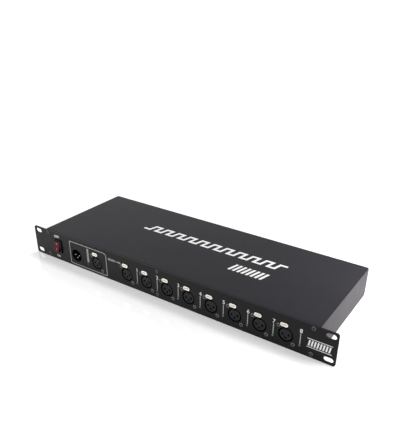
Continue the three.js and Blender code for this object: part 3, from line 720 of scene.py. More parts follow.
@dataclass(frozen=True)
class Finishes:
    """Every finish of the splitter, under the maker's name for what wears it."""

    panel: Finish = Finish(
        "panel_powder_coat", (0.0058, 0.0058, 0.0072), 0.32, specular=0.15, tone_share=0.25,
        grain_scale=2200.0, grain_cells=0.6, grain_height=0.02,
        worn=(0.07, 0.07, 0.075), wear=0.4, dust=0.005)
    case: Finish = Finish(
        "case_powder_coat", (0.0202, 0.0198, 0.0242), 0.34, specular=0.06, tint=(1.0, 0.93, 0.98),
        tone_share=0.2, grain_scale=1700.0, grain_cells=0.8, grain_height=0.02,
        worn=(0.09, 0.09, 0.095), wear=0.4, dust=0.012)
    print: Finish = Finish(
        "white_screen_print", (0.88, 0.88, 0.87), 0.5, specular=0.3, tone_share=0.12,
        tone_scale=900.0, grain_height=0.004)
    grey_print: Finish = Finish(
        "pale_screen_print", (0.5, 0.5, 0.5), 0.5, specular=0.3, tone_share=0.3,
        tone_scale=700.0, grain_height=0.004)
    shell: Finish = Finish(
        "moulded_black_shell", (0.006, 0.006, 0.0065), 0.42, specular=0.25, tone_share=0.2,
        grain_scale=2600.0, grain_height=0.012)
    core: Finish = Finish(
        "moulded_black_insert", (0.0085, 0.009, 0.0115), 0.45, specular=0.2, tone_share=0.2,
        grain_scale=2400.0, grain_height=0.012)
    # Near-black painted shade: it closes the foot of each contact's bore and fills each rivet's
    # well.
    painted_shade: Finish = Finish(
        "painted_recess_shade", (0.004, 0.0038, 0.0035), 0.75, specular=0.2, grain_height=0.0)
    # The edge-wear mask turns its edges brown: partly worn plating, partly painted shade along the
    # rounded rim.
    tab: Finish = Finish(
        "pale_plated_tab", (0.85, 0.815, 0.74), 0.34, metallic=1.0, tone_share=0.12,
        tone_scale=200.0, stretch=(1.0, 6.0, 6.0), grain_scale=500.0, grain_height=0.004,
        worn=(0.4, 0.27, 0.21), wear=0.85, wear_radius=0.8)
    # Darker than the tab: painted shade in the tab's sunk dish.
    dish: Finish = Finish(
        "tab_dish_painted_shade", (0.58, 0.51, 0.45), 0.4, metallic=1.0, tone_share=0.2,
        tone_scale=300.0, grain_scale=500.0, grain_height=0.006)
    # Plated metal whose colour is darkened below bright silver as painted shade for the pins and
    # contacts deep in their wells.
    contact: Finish = Finish(
        "silver_contact_with_painted_shade", (0.38, 0.365, 0.345), 0.3, metallic=1.0, tone_share=0.2,
        tone_scale=400.0, grain_height=0.003)
    rivet: Finish = Finish(
        "copper_brown_rivet", (0.2, 0.18, 0.165), 0.42, metallic=0.85, tone_share=0.5,
        tone_scale=500.0, grain_scale=900.0, grain_height=0.01)
    screw: Finish = Finish(
        "dark_plated_screw", (0.13, 0.12, 0.115), 0.42, metallic=0.9, tone_share=0.5,
        tone_scale=500.0, grain_scale=900.0, grain_height=0.01,
        worn=(0.24, 0.21, 0.2), wear=0.5, wear_radius=0.25)
    rocker: Finish = Finish(
        "clear_red_rocker", (0.105, 0.002, 0.008), 0.3, specular=0.11, tone_share=0.4,
        tone_scale=120.0, grain_height=0.002)
    rocker_mark: Finish = Finish(
        "faded_rocker_mark", (0.72, 0.33, 0.4), 0.45, specular=0.3, tone_share=0.25,
        tone_scale=700.0, grain_height=0.003)
    bezel: Finish = Finish(
        "satin_black_bezel", (0.006, 0.006, 0.007), 0.4, specular=0.2, tone_share=0.2,
        grain_scale=2400.0, grain_height=0.008)
    red_lens: Finish = Finish(
        "red_lens", (0.13, 0.005, 0.010), 0.2, coat=0.25, tone_share=0.3, tone_scale=400.0,
        grain_height=0.0)
    green_lens: Finish = Finish(
        "green_lens", (0.016, 0.16, 0.05), 0.14, coat=0.6, tone_share=0.3, tone_scale=400.0,
        grain_height=0.0)
    terminal: Finish = Finish(
        "plated_blade", (0.7, 0.68, 0.62), 0.32, metallic=1.0, tone_share=0.2,
        tone_scale=300.0, stretch=(4.0, 1.0, 4.0), grain_height=0.004)
    inlet: Finish = Finish(
        "moulded_black_inlet", (0.012, 0.012, 0.013), 0.4, tone_share=0.2,
        grain_scale=2200.0, grain_height=0.012)
    glass: Finish = Finish(
        "fuse_glass", (0.9, 0.93, 0.92), 0.06, clear=0.9, tone_share=0.03, grain_height=0.0)
    board: Finish = Finish(
        "green_board", (0.012, 0.11, 0.04), 0.35, coat=0.3, tone_share=0.35, tone_scale=300.0,
        grain_scale=900.0, grain_height=0.02)
    core_steel: Finish = Finish(
        "stacked_core_steel", (0.3, 0.3, 0.31), 0.45, metallic=0.8, tone_share=0.4,
        tone_scale=300.0, stretch=(1.0, 12.0, 1.0), grain_scale=500.0, grain_height=0.03)
    sleeve: Finish = Finish(
        "shrink_sleeve", (0.012, 0.02, 0.07), 0.3, coat=0.2, tone_share=0.2,
        grain_scale=700.0, grain_height=0.01)


class Workshop:
    """Turns meshes into the splitter's pieces, each dressed and riding on its body."""

    def __init__(self) -> None:
        """Builds the shared effects and an empty shelf of materials."""
        self.finishes = Finishes()
        self.effects = Effects()
        self.shelf: dict[Finish, bpy.types.Material] = {}

    def material(self, finish: Finish) -> bpy.types.Material:
        """Material of a finish, built at its first use."""
        if finish not in self.shelf:
            self.shelf[finish] = finish.build(self.effects)
        return self.shelf[finish]

    def piece(
        self,
        name: str,
        parts: Sequence[Part],
        slot_name: str,
        body: str = "case",
        stands_for: Sequence[str] = (),
    ) -> bpy.types.Object:
        """One piece from several meshes.

        Args:
            name: The piece's name.
            parts: Its meshes, each with its finish.
            slot_name: The record's material slot; not used.
            body: The body that it rides on.
            stands_for: The CAD nodes that it replaces.

        Returns:
            The piece.
        """
        work = bmesh.new()
        order = list(dict.fromkeys(finish for _, finish in parts))
        for mesh, finish in parts:
            before, index = len(work.faces), order.index(finish)
            work.from_mesh(mesh)
            work.faces.ensure_lookup_table()
            for face in work.faces[before:]:
                face.material_index = index
            bpy.data.meshes.remove(mesh)
        whole = bpy.data.meshes.new(name)
        work.to_mesh(whole)
        work.free()
        for finish in order:
            whole.materials.append(self.material(finish))
        whole.shade_smooth()
        whole.set_sharp_from_angle(angle=SMOOTH_BEND)
        thing = new_object(name, whole)
        thing.modifiers.new("even_shading", "WEIGHTED_NORMAL").keep_sharp = True
        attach(thing, body)
        if stands_for:
            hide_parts(*stands_for)
        LOG.info("%s: %d faces, rides on %s", name, len(whole.polygons), body)
        return thing

    def dress(self, node: str, finish: Finish) -> None:
        """Gives a CAD node that stays its finish."""
        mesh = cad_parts[node].data
        mesh.materials.clear()
        mesh.materials.append(self.material(finish))
        LOG.info("%s: CAD node, %s", node, finish.name)


@dataclass(frozen=True)
class Layout:
    """Places and sizes, in millimetres, that several sub-assemblies share."""

    panel_front: float = -81.7
    panel_back: float = -79.7
    case_rear: float = 79.7
    middle_z: float = 22.0
    connector_z: float = 18.3
    input_x: float = -155.3148
    thru_x: float = -115.194
    first_output_x: float = -59.3052
    output_pitch: float = 34.0983
    output_count: int = 8
    bore_radius: float = 9.6
    bore_steps: int = 72
    barrel_rear: float = -61.7
    bore_floor: float = -63.7
    lamp_offset_x: float = 18.2085
    lamp_z: float = 11.5
    signal_lamp_x: float = -132.1884
    signal_lamp_z: float = 12.0
    switch_x: float = -192.72
    switch_z: float = 22.8
    screw_side_x: float = 212.0
    screw_upper_z: float = 40.3
    screw_lower_z: float = 5.4
    tab_x: float = -2.35
    tab_z: float = 13.35
    tab_length: float = 10.0
    tab_height: float = 5.2
    tab_gap: float = 0.3

    @property
    def output_xs(self) -> Array:
        """Middles of the output sockets."""
        return self.first_output_x + self.output_pitch * np.arange(self.output_count)

    @property
    def screw_xs(self) -> dict[str, float]:
        """Where the panel screws stand, from left to right."""
        middle = float(self.output_xs[1]) + self.lamp_offset_x
        return {"left": -self.screw_side_x, "middle": middle, "right": self.screw_side_x}

    def bore(self, x: float, wider: float = 0.0) -> Array:
        """Outline of the bore of the connector at x, wider by a clearance."""
        return circle(x, self.connector_z, self.bore_radius + wider, self.bore_steps)

    def tab_outline(self, x: float, gap: float = 0.0) -> Array:
        """Outline of a latch tab above the bore at x, or of its slot with a gap."""
        return slot(x + self.tab_x, self.connector_z + self.tab_z,
                    self.tab_length + 2 * gap, self.tab_height + 2 * gap)


@dataclass
class Assembly:
    """A sub-assembly, with the workshop and the shared places at hand."""

    shop: Workshop
    at: Layout

    @property
    def finishes(self) -> Finishes:
        """The splitter's finishes."""
        return self.shop.finishes

    def build(self) -> None:
        """Makes the sub-assembly's pieces."""
        raise NotImplementedError


@dataclass
class PanelScrew(Assembly):
    """A panel screw: its head's rim with a domed cross recess inside, and its shank."""

    name: str
    x: float
    z: float
    recess_radius: float = 1.72
    recess_height: float = 0.72
    rim_section: tuple[Pair, ...] = (
        (1.5, 0.05), (1.5, -0.5), (1.8, -0.98), (2.3, -0.85), (2.8, -0.3), (2.8, 0.05),
        (1.5, 0.05))
    rim_easing: float = 0.35
    shank_radius: float = 1.5
    shank_front: float = -81.4
    shank_rear: float = -74.7
    taper: float = 0.7
    taper_radius: float = 1.1

    def build(self) -> None:
        """Makes the screw. The rim's section lies on the panel's front."""
        front = self.at.panel_front
        section = eased(np.array(self.rim_section) + [0, front], self.rim_easing)
        shank = np.array([[0, self.shank_front], [self.shank_radius, self.shank_front],
                          [self.shank_radius, self.shank_rear - self.taper],
                          [self.taper_radius, self.shank_rear], [0, self.shank_rear]])
        meshes = (turned(section, self.x, self.z, steps=56),
                  cross_head(self.x, self.z, front, self.recess_radius, self.recess_height),
                  turned(shank, self.x, self.z))
        self.shop.piece(f"screw_{self.name}", coated(self.finishes.screw, *meshes),
                        "screw_steel", stands_for=[f"panel_screw_{self.name}"])


@dataclass
class FrontPanel(Assembly):
    """The panel and its screws."""

    sheet: Block = Block(482.6, 44.0, 3.0, edge=0.15, steps=8)
    ear_x: float = 232.55
    ear_z: float = 15.875
    ear_length: float = 12.0
    ear_height: float = 6.8
    switch_cutout: Block = Block(13.2, 19.2, 0.4, steps=3)
    lamp_hole: float = 1.65

    def build(self) -> None:
        """Makes the panel and its screws."""
        self._plate()
        levels = {"upper": self.at.screw_upper_z, "lower": self.at.screw_lower_z}
        for side, x in self.at.screw_xs.items():
            for level, z in levels.items():
                PanelScrew(self.shop, self.at, f"{side}_{level}", x, z).build()

    def _plate(self) -> None:
        """The plate, with a rounded edge round its outline and every opening."""
        at = self.at
        ears = [slot(side * self.ear_x, at.middle_z + level * self.ear_z,
                     self.ear_length, self.ear_height)
                for side in (-1, 1) for level in (-1, 1)]
        switch = self.switch_cutout.outline(at.switch_x, at.switch_z)
        sockets = [at.thru_x, *at.output_xs]
        bores = [at.bore(x) for x in (at.input_x, *sockets)]
        tabs = [at.tab_outline(x, at.tab_gap) for x in sockets]
        lamps = [circle(at.signal_lamp_x, at.signal_lamp_z, self.lamp_hole, steps=24)]
        lamps += [circle(x + at.lamp_offset_x, at.lamp_z, self.lamp_hole, steps=24)
                  for x in at.output_xs]
        mesh = self.sheet.solid((0, at.middle_z), at.panel_front, at.panel_back,
                                *ears, switch, *bores, *tabs, *lamps)
        self.shop.piece("panel_plate", coated(self.finishes.panel, mesh), "panel_paint",
                        stands_for=["front_panel"])


@dataclass
class PanelPrint(Assembly):
    """What is printed on the panel: the frame, the channels' marks, words and end marks."""

    thickness: float = 0.05
    frame_xs: Pair = (-167.8, -96.9)
    frame_zs: Pair = (3.7, 38.6)
    frame_bends: tuple[float, ...] = (1.2, 5.5, 1.0, 2.6)
    line_width: float = 1.0
    rung_xs: Pair = (-134.0, -130.5)
    rung_zs: Pair = (15.4, 35.4)
    rung_count: int = 12
    rung_width: float = 1.35
    numeral_shift: float = 0.3
    numeral_z: float = 31.2
    numeral_height: float = 5.3
    numeral_boldness: float = 0.01
    channel_zs: Pair = (13.3, 27.6)
    bar_xs: Pair = (-92.2, -81.4)
    bar_zs: Pair = (30.6, 33.9)
    bar_count: int = 7
    arrow_z: float = 32.3
    shaft_xs: Pair = (-79.4, -72.9)
    shaft_width: float = 1.2
    head_xs: Pair = (-73.6, -69.4)
    head_half: float = 1.7
    off_place: Pair = (-194.4, 37.9)
    off_height: float = 4.2
    on_place: Pair = (-194.5, 6.35)
    on_height: float = 3.2
    rule_xs: Pair = (205.9, 235.8)
    rule_zs: Pair = (13.9, 25.3)
    rule_width: float = 0.8
    end_bar_xs: Pair = (208.6, 233.0)
    end_bar_z: float = 19.6
    end_bar_size: Pair = (2.0, 8.0)
    end_bar_lean: float = 1.2

    def build(self) -> None:
        """Makes the four pieces of print."""
        pale, white = self.finishes.grey_print, self.finishes.print
        for name, parts in (
            ("signal_frame_print", coated(pale, *self._frame_and_rungs())),
            ("channel_print", [*self._channels(), *coated(pale, *self._bars_and_arrow())]),
            ("switch_words", coated(white, words("OFF", self.off_place, self.off_height, self.ink),
                                    words("ON", self.on_place, self.on_height, self.ink))),
            ("end_print", coated(white, *self._end_marks())),
        ):
            self.shop.piece(name, parts, "panel_paint")

    @property
    def ink(self) -> Pair:
        """Depths of the print's face and of the panel's under it."""
        return self.at.panel_front - self.thickness, self.at.panel_front

    def _line(
        self, path: Sequence[Pair] | Array, width: float, closed: bool = False
    ) -> bpy.types.Mesh:
        """A printed line on the panel's face."""
        return stroke(path, width, *self.ink, closed=closed)

    def _frame_and_rungs(self) -> list[bpy.types.Mesh]:
        """The line round the input and the thru socket, and the short rungs between them."""
        (left, right), (low, high) = self.frame_xs, self.frame_zs
        corners = np.array([[left, high], [right, high], [right, low], [left, low]])
        bends = np.array(self.frame_bends)[:, None]
        near, far = self.rung_xs
        return [self._line(eased(corners, bends, closed=True, steps=8), self.line_width, True),
                *(self._line([(near, z), (far, z)], self.rung_width)
                  for z in np.linspace(*self.rung_zs, self.rung_count))]

    def _channels(self) -> list[Part]:
        """Each output's numeral over a line down to its lamp."""
        foot, head = self.channel_zs
        parts = []
        for number, x in enumerate(self.at.output_xs + self.at.lamp_offset_x, start=1):
            numeral = words(str(number), (x + self.numeral_shift, self.numeral_z),
                            self.numeral_height, self.ink, self.numeral_boldness)
            parts.append((numeral, self.finishes.print))
            line = self._line([(x, head), (x, foot)], self.line_width)
            parts.append((line, self.finishes.grey_print))
        return parts

    def _bars_and_arrow(self) -> list[bpy.types.Mesh]:
        """A row of short bars and an arrow, before the outputs."""
        low, high = self.bar_zs
        start, neck = self.shaft_xs
        back, tip = self.head_xs
        z, half = self.arrow_z, self.head_half
        head = np.array([[back, z - half], [tip, z], [back, z + half]])
        return [*(self._line([(x, low), (x, high)], self.line_width)
                  for x in np.linspace(*self.bar_xs, self.bar_count)),
                self._line([(start, z), (neck, z)], self.shaft_width), plate([head], *self.ink)]

    def _end_marks(self) -> list[bpy.types.Mesh]:
        """Two rules with eight slanted bars between them, at the right end."""
        near, far = self.rule_xs
        low, high = self.rule_zs
        bars = slanted_bars(self.end_bar_xs, self.end_bar_z, self.end_bar_size,
                            self.end_bar_lean)
        return [*(self._line([(near, z), (far, z)], self.rule_width) for z in (high, low)),
                *(plate([bar], *self.ink) for bar in bars)]


@dataclass
class Case(Assembly):
    """The folded cover with its print, the tray, and the screws at the rear."""

    half_width: float = 219.0
    height: float = 43.97
    foot_gap: float = 2.0
    bend: float = 1.6
    sheet: float = 1.2
    sheet_edge: float = 0.15
    sheet_edge_angle: float = 50.0
    front_lip: float = 6.8
    rear_lip: float = 8.0
    print_thickness: float = 0.03
    pulse_count: int = 21
    pulse_start: float = -100.0
    pulse_step: float = 10.35
    pulse_ys: Pair = (6.4, 18.9)
    pulse_lean: float = 0.28
    pulse_width: float = 3.6
    bar_xs: Pair = (71.5, 117.0)
    bar_y: float = -20.6
    bar_size: Pair = (3.6, 17.0)
    bar_lean: float = 4.6
    screw_xs: tuple[float, ...] = (-205.0, 0.0, 205.0)
    screw_z: float = 39.4
    screw_radius: float = 2.3
    screw_height: float = 0.8

    def build(self) -> None:
        """Makes the cover, its print and its screws, and dresses the tray."""
        self._cover()
        self._top_marks()
        heads = [cross_head(x, self.screw_z, self.at.case_rear, self.screw_radius,
                            self.screw_height, outward=1) for x in self.screw_xs]
        self.shop.piece("cover_screws", coated(self.finishes.screw, *heads), "screw_steel")
        self.shop.dress("chassis_tray", self.finishes.case)

    def _bend(self, steps: int = 8) -> Array:
        """Quarter circle of the bend: (r sin t, r cos t) from the top to the side."""
        turn = np.linspace(0, np.pi / 2, steps + 1)
        return self.bend * np.stack([np.sin(turn), np.cos(turn)], axis=-1)

    def _cover(self) -> None:
        """One sheet folded four ways, from strips that meet along the edges of its top.

        The sides' strip carries the profile (side, bend, top, bend, side) along Y. Each lip's
        strip carries the profile (bend, lip) along X. A wall of one sheet goes inwards.
        """
        half, top = self.half_width - self.bend, self.height - self.bend
        rear, depth = self.at.case_rear, self.at.case_rear - self.bend
        right = np.vstack([self._bend() + [half, top], [[self.half_width, self.foot_gap]]])
        profile = np.vstack([right[::-1] * [-1, 1], right])[::-1]
        folded = Facing.FRONT.place(np.tile(profile, (2, 1)),
                                    np.repeat([-depth, depth], len(profile)))
        strips = [(folded, grid_quads(2, len(profile), wrap=False))]
        for side in (-1, 1):
            for end in (-1, 1):
                wall = np.array([[side * self.half_width, end * y, z]
                                 for y in (depth, rear) for z in (self.foot_gap, top)])
                strips.append((wall, np.array([[0, 1, 3, 2]])))
        for end, lip in ((-1, self.front_lip), (1, self.rear_lip)):
            drop = np.vstack([self._bend() + [depth, top], [[rear, self.height - lip]]])
            path = Facing.RIGHT.place(np.tile(drop * [end, 1], (2, 1)),
                                      np.repeat([-half, half], len(drop)))
            strips.append((path, grid_quads(2, len(drop), wrap=False)))
        cover = self.shop.piece("case_cover", coated(self.finishes.case, mesh_of(*strips)),
                                "case_paint", stands_for=["top_cover"])
        wall = cover.modifiers.new("sheet", "SOLIDIFY")
        wall.thickness, wall.offset, wall.use_even_offset = self.sheet * MM, -1, True
        edge = cover.modifiers.new("edges", "BEVEL")
        edge.width, edge.segments, edge.limit_method = self.sheet_edge * MM, 2, "ANGLE"
        edge.angle_limit = math.radians(self.sheet_edge_angle)
        # The even shading comes last, so that it reads the finished faces.
        cover.modifiers.move(0, 2)

    def _top_marks(self) -> None:
        """A slanting pulse line over eight slanted bars, printed on the top.

        The line's path steps between two levels, with two points at each step: point k lies
        at the upper level where half of k is odd, and each rise leans by its height times the
        lean.
        """
        ink = (self.height, self.height + self.print_thickness)
        foot, crown = self.pulse_ys
        index = np.arange(2 * self.pulse_count + 2)
        level = np.where(index // 2 % 2, crown, foot)
        along = (self.pulse_start + self.pulse_step * ((index + 1) // 2)
                 + self.pulse_lean * (level - foot))
        path = np.stack([along, level], axis=-1)
        bars = slanted_bars(self.bar_xs, self.bar_y, self.bar_size, self.bar_lean)
        marks = (stroke(path, self.pulse_width, *ink, Facing.TOP),
                 *(plate([bar], *ink, Facing.TOP) for bar in bars))
        self.shop.piece("top_print", coated(self.finishes.print, *marks), "case_paint")


@dataclass
class Socket(Assembly):
    """A female connector: shell, insert with contacts, rivets and latch."""

    name: str
    x: float
    wall: float = 1.8
    flange_half: float = 12.6
    flange_thickness: float = 2.0
    flange_corner: float = 1.5
    flange_edge: float = 0.1
    fit: float = 0.05
    steepest_share: float = 0.05
    window: Pair = (-76.0, -71.9)
    window_half: float = 1.5
    housing_wall: float = 1.1
    housing_set_back: float = 1.5
    insert_radius: float = 7.8
    insert_front: float = -81.3
    insert_edge: float = 0.22
    keyway_turn: float = 0.16
    keyway_depth: float = 1.1
    hole_radius: float = 1.6
    hole_circle: float = 4.0
    contact_radii: Pair = (1.1, 1.5)
    contact_ends: Pair = (-78.8, -65.2)
    contact_easing: float = 0.1
    contact_floor: Pair = (-71.2, -70.7)
    floor_radius: float = 1.3
    rivet_x: float = 9.8
    rivet_z: float = 10.0
    rivet_easing: float = 0.3
    rivet_section: tuple[Pair, ...] = (
        (1.3, 1.5), (1.3, -0.3), (1.6, -0.5), (2.2, -0.42), (2.5, -0.05), (2.5, 0.02),
        (1.42, 0.02), (1.42, 1.5))
    well_radius: float = 1.36
    well_depths: Pair = (0.6, 1.4)
    tab_proud: float = 1.3
    tab_root: float = 0.4
    tab_edge: float = 0.4
    dish_inset: float = 1.6
    dish_depth: float = 0.45
    slide_reach: float = 9.0
    slide_gap: float = 0.2
    slide_edge: float = 0.2
    hook: Block = Block(2.4, 4.4, 0.3, edge=0.15)
    hook_z: float = 10.7
    hook_depths: Pair = (-75.7, -74.3)

    def build(self) -> None:
        """Makes the connector's pieces."""
        self._shell()
        self._insert()
        self._rivets()
        self._latch()

    def contacts(self) -> list[Pair]:
        """Places of the three contacts: left, right and below the middle."""
        return [(self.x + side * self.hole_circle, self.at.connector_z + level * self.hole_circle)
                for side, level in ((-1, 0), (1, 0), (0, -1))]

    def rivet_places(self) -> list[Pair]:
        """The rivets: above to the left and below to the right."""
        return [(self.x + side * self.rivet_x, self.at.connector_z - side * self.rivet_z)
                for side in (-1, 1)]

    def _barrel(self) -> list[bpy.types.Mesh]:
        """Barrel with room for the latch, in rings from front to rear, and its floor.

        At turn t its outer radius is that of bore and wall. Over the latch's slot it is the
        lesser of that and (slot's lowest level - clearance) / sin t. The middle ring is open
        over the hook, where |x| is less than the window's half width.

        Returns:
            Closed meshes.
        """
        at, steps, over_steps = self.at, 85, 12
        opening = math.acos(self.window_half / at.bore_radius)
        turn = np.linspace(np.pi - opening, 2 * np.pi + opening, steps)
        over_hook = np.linspace(opening, np.pi - opening, over_steps)[1:-1]
        turn = np.concatenate([turn, over_hook])
        ray = arc(0, 0, 1, turn)
        lowest = at.tab_z - at.tab_height / 2 - at.tab_gap - self.fit
        limit = lowest / np.maximum(ray[:, 1], self.steepest_share)
        side = limit * ray[:, 0] - at.tab_x
        under_slot = (ray[:, 1] > 0) & (np.abs(side) < at.tab_length / 2 + at.tab_gap)
        reach = np.full(len(turn), at.bore_radius + self.wall)
        reach = np.where(under_slot, np.minimum(reach, limit), reach)[:, None]
        middle = np.array([self.x, at.connector_z])
        outer, inner = middle + reach * ray, middle + at.bore_radius * ray
        near, far = self.window
        open_ring = np.vstack([outer[:steps], inner[:steps][::-1]])
        return [plate([outer, inner], at.panel_back, near),
                plate([open_ring], near, far),
                plate([outer, inner], far, at.barrel_rear),
                plate([inner], at.bore_floor, at.barrel_rear)]

    def _housing(self) -> bpy.types.Mesh:
        """Latch housing: three walls round the slot, open towards the bore."""
        at = self.at
        half_length = at.tab_length / 2 + at.tab_gap
        half_height = at.tab_height / 2 + at.tab_gap
        end = arc(0, 0, half_height, np.linspace(-np.pi / 2, np.pi / 2, 13))
        shoulder = np.array([half_length - half_height, 0])
        inner = np.vstack([end + shoulder, end[::-1] * [-1, 1] - shoulder])
        reach, crown = half_length + self.housing_wall, half_height + self.housing_wall
        outer = np.array([[-reach, -half_height], [-reach, crown], [reach, crown],
                          [reach, -half_height]])
        outline = np.vstack([inner, outer]) + [self.x + at.tab_x, at.connector_z + at.tab_z]
        return plate([outline], at.panel_back + self.housing_set_back, at.barrel_rear)

    def _shell(self) -> None:
        """The barrel, its flange behind the panel and the latch's housing."""
        at, half = self.at, self.flange_half
        top = at.tab_z + at.tab_height / 2 + at.tab_gap + self.housing_wall
        outline = rounded_box(self.x, at.connector_z + (top - half) / 2, 2 * half, half + top,
                              self.flange_corner, steps=4)
        flange = plate([outline, at.bore(self.x, self.fit), at.tab_outline(self.x, at.tab_gap)],
                       at.panel_back, at.panel_back + self.flange_thickness,
                       edge=self.flange_edge)
        self.shop.piece(f"{self.name}_barrel",
                        coated(self.finishes.shell, flange, self._housing(), *self._barrel()),
                        "black_plastic", stands_for=[f"{self.name}_shell"])

    def _insert(self) -> None:
        """The insert: a disc with a keyway and three holes, a sprung contact in each."""
        at, quarter = self.at, np.pi / 2
        turn = np.linspace(quarter + self.keyway_turn, 5 * quarter - self.keyway_turn, 80)
        rim = arc(self.x, at.connector_z, self.insert_radius, turn)
        keyway = rim[[-1, 0]] - [0, self.keyway_depth]
        holes = [circle(x, z, self.hole_radius, steps=28) for x, z in self.contacts()]
        disc = plate([np.vstack([rim, keyway]), *holes], self.insert_front, at.bore_floor,
                     edge=self.insert_edge)
        parts = coated(self.finishes.core, disc)
        (bore, outside), (mouth, foot) = self.contact_radii, self.contact_ends
        tube = eased(np.array([[outside, mouth], [outside, foot], [bore, foot], [bore, mouth]]),
                     self.contact_easing, closed=True)
        # The disc deep in each contact's bore is painted shade.
        floor = pin_profile(self.floor_radius, *self.contact_floor)
        for x, z in self.contacts():
            parts += coated(self.finishes.contact, turned(tube, x, z, ring=True))
            parts += coated(self.finishes.painted_shade, turned(floor, x, z))
        self.shop.piece(f"{self.name}_face", parts, "insert_plastic",
                        stands_for=[f"{self.name}_insert"])

    def _rivets(self) -> None:
        """Hollow rivets: a rolled ring round its well, which is filled with a plug of painted
        shade.
        """
        on_panel = np.array([0, self.at.panel_front])
        ring = eased(np.array(self.rivet_section) + on_panel, self.rivet_easing, closed=True,
                     steps=3)
        # The plug in each well is painted shade.
        well = pin_profile(self.well_radius, *self.well_depths) + on_panel
        parts: list[Part] = []
        for x, z in self.rivet_places():
            parts += coated(self.finishes.rivet, turned(ring, x, z, steps=40, ring=True))
            parts += coated(self.finishes.painted_shade, turned(well, x, z))
        self.shop.piece(f"{self.name}_rivets", parts, "screw_steel")

    def _latch(self) -> None:
        """The push tab with a shallow dish, its slide, and the hook that reaches the bore."""
        at = self.at
        front = at.panel_front - self.tab_proud
        rim = plate([at.tab_outline(self.x), at.tab_outline(self.x, -self.dish_inset)],
                    front, at.panel_front + self.tab_root, edge=self.tab_edge)
        # The slide's face is the dish's floor, and its darker finish is painted shade.
        slide = plate([at.tab_outline(self.x, -self.slide_gap)], front + self.dish_depth,
                      at.panel_back + self.slide_reach, edge=self.slide_edge)
        hook = self.hook.solid((self.x, at.connector_z + self.hook_z), *self.hook_depths)
        tab, dish = self.finishes.tab, self.finishes.dish
        self.shop.piece(f"{self.name}_tab", [(rim, tab), (slide, dish), (hook, tab)],
                        "latch_metal", body=f"{self.name}_push_tab",
                        stands_for=[f"{self.name}_latch"])


@dataclass
class InputPlug(Socket):
    """The male connector: a deep well with three pins."""

    mouth_easing: float = 0.35
    flange_clearance: float = 0.3
    flange_edge: float = 0.2
    disc_clearance: float = 0.25
    disc_thickness: float = 3.0
    disc_edge: float = 0.25
    collar_radius: float = 2.1
    collar_base: float = -67.1
    collar_front: float = -66.6
    collar_easing: float = 0.2
    pin_radius: float = 1.2
    pin_front: float = -80.5
    pin_nose: float = 0.9
    nose_share: float = 0.7
    pin_easing: float = 0.35
    cap_section: tuple[Pair, ...] = (
        (0, -0.2), (1.0, -0.2), (1.3, -0.5), (2.2, -0.4), (2.6, 0), (2.6, 0.1), (0, 0.1))

    def build(self) -> None:
        """Makes the connector's pieces."""
        self._well()
        self._face()
        self._pins()
        self._black_rivets()

    def _well(self) -> None:
        """Barrel with a floor, eased at its inner wall's mouth, and the flange round it."""
        at, outer, side = self.at, self.at.bore_radius + self.wall, 2 * self.flange_half
        profile = np.array([
            [0, at.bore_floor], [at.bore_radius, at.bore_floor], [at.bore_radius, at.panel_back],
            [outer, at.panel_back], [outer, at.barrel_rear], [0, at.barrel_rear]])
        barrel = turned(eased(profile, self.mouth_easing), self.x, at.connector_z, at.bore_steps)
        outline = rounded_box(self.x, at.connector_z, side, side, self.flange_corner, steps=4)
        flange = plate([outline, at.bore(self.x, self.flange_clearance)],
                       at.panel_back, at.panel_back + self.flange_thickness,
                       edge=self.flange_edge)
        self.shop.piece("input_barrel", coated(self.finishes.shell, barrel, flange),
                        "black_plastic", stands_for=["input_shell"])

    def _face(self) -> None:
        """The disc at the well's floor, with a collar for each pin."""
        at = self.at
        rim = circle(self.x, at.connector_z, at.bore_radius - self.disc_clearance, steps=64)
        disc = plate([rim], at.bore_floor - self.disc_thickness, at.bore_floor,
                     edge=self.disc_edge)
        collar = eased(pin_profile(self.collar_radius, self.collar_front, self.collar_base),
                       self.collar_easing)
        collars = [turned(collar, x, z, steps=28) for x, z in self.contacts()]
        self.shop.piece("input_face", coated(self.finishes.core, disc, *collars),
                        "insert_plastic", stands_for=["input_insert"])

    def _pins(self) -> None:
        """Three pins with tapered noses."""
        base = self.at.bore_floor
        profile = eased(np.array([
            [0, self.pin_front], [self.pin_radius * self.nose_share, self.pin_front],
            [self.pin_radius, self.pin_front + self.pin_nose], [self.pin_radius, base],
            [0, base]]), self.pin_easing)
        for number, (x, z) in enumerate(self.contacts(), start=1):
            self.shop.piece(f"input_pin_{number}_turned",
                            coated(self.finishes.contact, turned(profile, x, z, steps=28)),
                            "contact_plate", stands_for=[f"input_pin_{number}"])

    def _black_rivets(self) -> None:
        """Rivets with closed heads, painted with the panel."""
        cap = eased(np.array(self.cap_section) + [0, self.at.panel_front], self.rivet_easing)
        heads = [turned(cap, x, z, steps=40) for x, z in self.rivet_places()]
        self.shop.piece("input_rivets", coated(self.finishes.panel, *heads), "panel_paint")


@dataclass
class Lamp(Assembly):
    """A small round lamp: domed lens, flange behind the panel, two legs."""

    node: str
    x: float
    z: float
    finish: Finish
    slot_name: str
    radius: float = 1.5
    proud: float = 1.3
    flange_radius: float = 1.95
    flange_thickness: float = 1.0
    leg: Block = Block(0.5, 0.5, 0.05, steps=1)
    leg_half_pitch: float = 1.27

    def build(self) -> None:
        """Makes the lens, whose dome is the half ellipse (r sin t, proud cos t), and legs."""
        front, back = self.at.panel_front, self.at.panel_back
        turn = np.linspace(0, np.pi / 2, 10)
        dome = np.stack([self.radius * np.sin(turn), front - self.proud * np.cos(turn)], axis=-1)
        rear = back + self.flange_thickness
        flange = [[self.radius, back], [self.flange_radius, back], [self.flange_radius, rear],
                  [0, rear]]
        lens = turned(np.vstack([dome, flange]), self.x, self.z, steps=32)
        legs = [self.leg.solid((self.x + side * self.leg_half_pitch, self.z),
                               back + self.flange_thickness / 2, self.at.barrel_rear)
                for side in (-1, 1)]
        self.shop.piece(f"{self.node}_lens",
                        [(lens, self.finish), *coated(self.finishes.terminal, *legs)],
                        self.slot_name, stands_for=[self.node])


